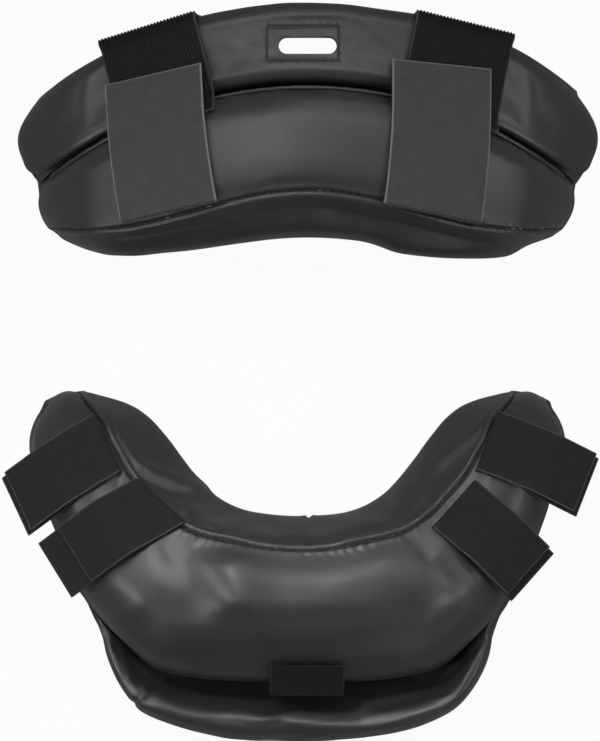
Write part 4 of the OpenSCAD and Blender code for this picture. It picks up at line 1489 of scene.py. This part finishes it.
@dataclass
class Tapes:
    """Every tape of both pads, laid in order so that an upper one rests on the one below."""

    frame: dict[str, object]
    wide: float = 40.6
    narrow: float = 25.6
    tab: float = 29.0

    def pairs(self) -> list[tuple[Tape, Tape, Finish, Finish]]:
        """Lower and upper tape of each pair, with their finishes."""
        out = []
        for side, sign in (("left", -1), ("right", 1)):
            hook = Tape(f"forehead_{side}_hook_tape", self.wide, 38.0, lean=sign * 1.5,
                        start=((1.6, 0.0), (1.3, 3.5), (0.3, 6.5), (-0.6, 8.4), (0.4, 9.4), (2.2, 9.8)), drop=1.2,
                        ribs=1.4, rib_height=0.2, teeth=1.3)
            length, lean, skew = (54.0, 1.4, 0.0) if sign < 0 else (58.0, -4.0, 6.0)
            loop = Tape(f"forehead_{side}_loop_tape", self.wide, length, lean=lean, skew=skew, lift=0.5)
            out.append((hook, loop, Finish.HOOK, Finish.LOOP))
        places = {
            "left_upper": (-7.0, 0.0, 41.5, 23.5), "left_lower": (15.0, -14.0, 38.3, 28.2),
            "right_upper": (0.0, 0.0, 41.5, 23.0), "right_lower": (-1.0, 0.0, 39.0, 23.0)}
        for key, (lean, skew, top, under) in places.items():
            below = Tape(f"chin_{key}_under_tape", self.narrow, under, lean=lean, skew=skew, drop=0.3)
            above = Tape(f"chin_{key}_top_tape", self.narrow, top, lean=lean, skew=skew, drop=0.3, lift=0.4)
            out.append((below, above, Finish.FUZZY, Finish.BRUSHED))
        keeper = Tape("chin_tab_keeper", self.tab - 2, 12.0, free_path=((0, 0), (0.9, 5), (3, 10.5), (4.9, 14.5)))
        flap = Tape("chin_tab_flap", self.tab, 12.0,
                    free_path=((0, 0), (2.5, 0), (5.6, -1.4), (8.6, -4.4), (10.9, -9.6), (11.8, -16)))
        out.append((keeper, flap, Finish.BRUSHED, Finish.TAB))
        return out

    def build(self, pads: Sequence[bpy.types.Object]) -> list[bpy.types.Object]:
        """Makes the tapes over the finished pads."""
        made = []
        for below, above, low, high in self.pairs():
            first = below.build(Seat.of(self.frame, below.node), ground_under(pads), low.value)
            second = above.build(Seat.of(self.frame, above.node), ground_under([*pads, first]), high.value)
            made += [first, second]
            if not above.free_path:
                made.append(above.foot(Seat.of(self.frame, above.node), ground_under(pads), high.value))
        return made


# ---------- studio ----------


@dataclass
class Studio:
    """Plain pale floor, soft lights and a camera straight above."""

    distance: float = 6.0
    lens: float = 740.0
    sensor: float = 36.0

    def camera(self) -> None:
        """Makes the camera."""
        data = bpy.data.cameras.new("camera")
        data.lens, data.sensor_width, data.sensor_fit = self.lens, self.sensor, "VERTICAL"
        data.sensor_height = self.sensor
        data.clip_end = 20.0
        camera = bpy.data.objects.new("camera", data)
        camera.location = (0.0, 0.0, self.distance)
        bpy.context.scene.collection.objects.link(camera)
        bpy.context.scene.camera = camera

    def light(
        self,
        name: str,
        place: tuple[float, float, float],
        size: tuple[float, float],
        power: float,
        aim: tuple[float, float, float] = (0.0, 0.0, 0.0),
        spread: float = 180.0,
    ) -> None:
        """Makes an area light.

        Args:
            name: Name of the light.
            place: Where it stands.
            size: Its two sides.
            power: Its power in watts.
            aim: The point it faces.
            spread: Angle its light fans out over, in degrees.
        """
        data = bpy.data.lights.new(name, "AREA")
        data.shape, data.size, data.size_y, data.energy = "RECTANGLE", size[0], size[1], power
        lamp = bpy.data.objects.new(name, data)
        lamp.location = place
        lamp.rotation_euler = (Vector(aim) - Vector(place)).to_track_quat("-Z", "Y").to_euler()
        data.spread = math.radians(spread)
        bpy.context.scene.collection.objects.link(lamp)

    def floor(self) -> bpy.types.Object:
        """Makes the floor, white to the camera but for a soft shadow."""
        sheet = bmesh.new()
        bmesh.ops.create_grid(sheet, x_segments=1, y_segments=1, size=4.0)
        mesh = mesh_from(sheet, "floor")
        r = Recipe("pale_floor")
        direct = r.add("ShaderNodeLightPath", output="Is Camera Ray")
        plain = r.add("ShaderNodeBsdfDiffuse", {}, {"Color": linear(150.0)})
        white = r.add("ShaderNodeEmission", {}, {"Color": (1.0, 1.0, 1.0, 1.0), "Strength": 1.02})
        r.add_output(r.add("ShaderNodeMixShader", {}, {0: direct * 0.93, 1: plain, 2: white}))
        floor = new_object("floor", mesh, r.material)
        mesh.transform(Matrix.Translation((0, 0, -0.0004)))
        return floor

    def world(self, level: float) -> None:
        """Lights everything softly from all round."""
        world = bpy.data.worlds.new("studio")
        world.use_nodes = True
        world.node_tree.nodes["Background"].inputs["Color"].default_value = (1.0, 1.0, 1.0, 1.0)
        world.node_tree.nodes["Background"].inputs["Strength"].default_value = level
        bpy.context.scene.world = world

    def build(self) -> None:
        """Sets the scene up."""
        bpy.context.scene.view_settings.view_transform = "Standard"
        self.camera()
        self.floor()
        self.world(0.13)
        self.light("top_light", (0.0, 1.05, 1.7), (2.0, 0.9), 17.0)
        self.light("key_light", (-0.36, 0.5, 1.35), (0.16, 0.16), 0.1, (-0.03, -0.085, 0.03), 16.0)
        self.light("back_light", (0.2, 1.7, 0.8), (1.2, 0.5), 4.0)
        self.light("left_light", (-1.3, 0.45, 1.0), (0.4, 0.5), 4.4)
        self.light("right_light", (1.3, 0.45, 1.0), (0.4, 0.5), 5.5)
        self.light("chin_left_light", (-0.7, -0.3, 0.6), (0.25, 0.25), 3.0)
        self.light("chin_right_light", (0.75, -0.35, 0.6), (0.25, 0.25), 2.6)
        self.light("low_light", (0.6, -1.5, 0.6), (0.5, 0.3), 1.3)


def dress_nodes(frame: dict[str, object], finishes: dict[str, bpy.types.Material]) -> None:
    """Gives every carried-over solid the material of its slot."""
    slots = {row["node"]: row["material_slot"] for row in frame["record"]["subparts"]}
    for name, node in frame["nodes"].items():
        material = finishes[slots[name]]
        if node.material_slots:
            for slot in node.material_slots:
                slot.material = material
        else:
            node.data.materials.append(material)


def main() -> None:
    """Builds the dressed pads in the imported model's frame."""
    logging.basicConfig(level=logging.INFO, format="%(name)s: %(message)s")
    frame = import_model()
    Studio().build()
    leather, lining = SyntheticLeather().make(), KnitLining().make()
    thread, plastic = Thread().make(), BarePlastic().make()
    forehead = ForeheadPad(ForeheadPlan(), leather, lining, thread).build()
    chin = ChinPad(ChinPlan(), leather, lining, thread).build()
    tapes = Tapes(frame).build([*forehead[:3], *chin[:3]])
    for piece in [*forehead, *chin, *tapes]:
        log.info("%s: %d faces", piece.name, len(piece.data.polygons))
    finishes = {"leather": leather, "lining": lining, "firm_foam": lining, "soft_foam": lining, "plastic": plastic,
                "loop_tape": leather, "hook_tape": leather}
    dress_nodes(frame, finishes)


if __name__ == "__main__":
    main()
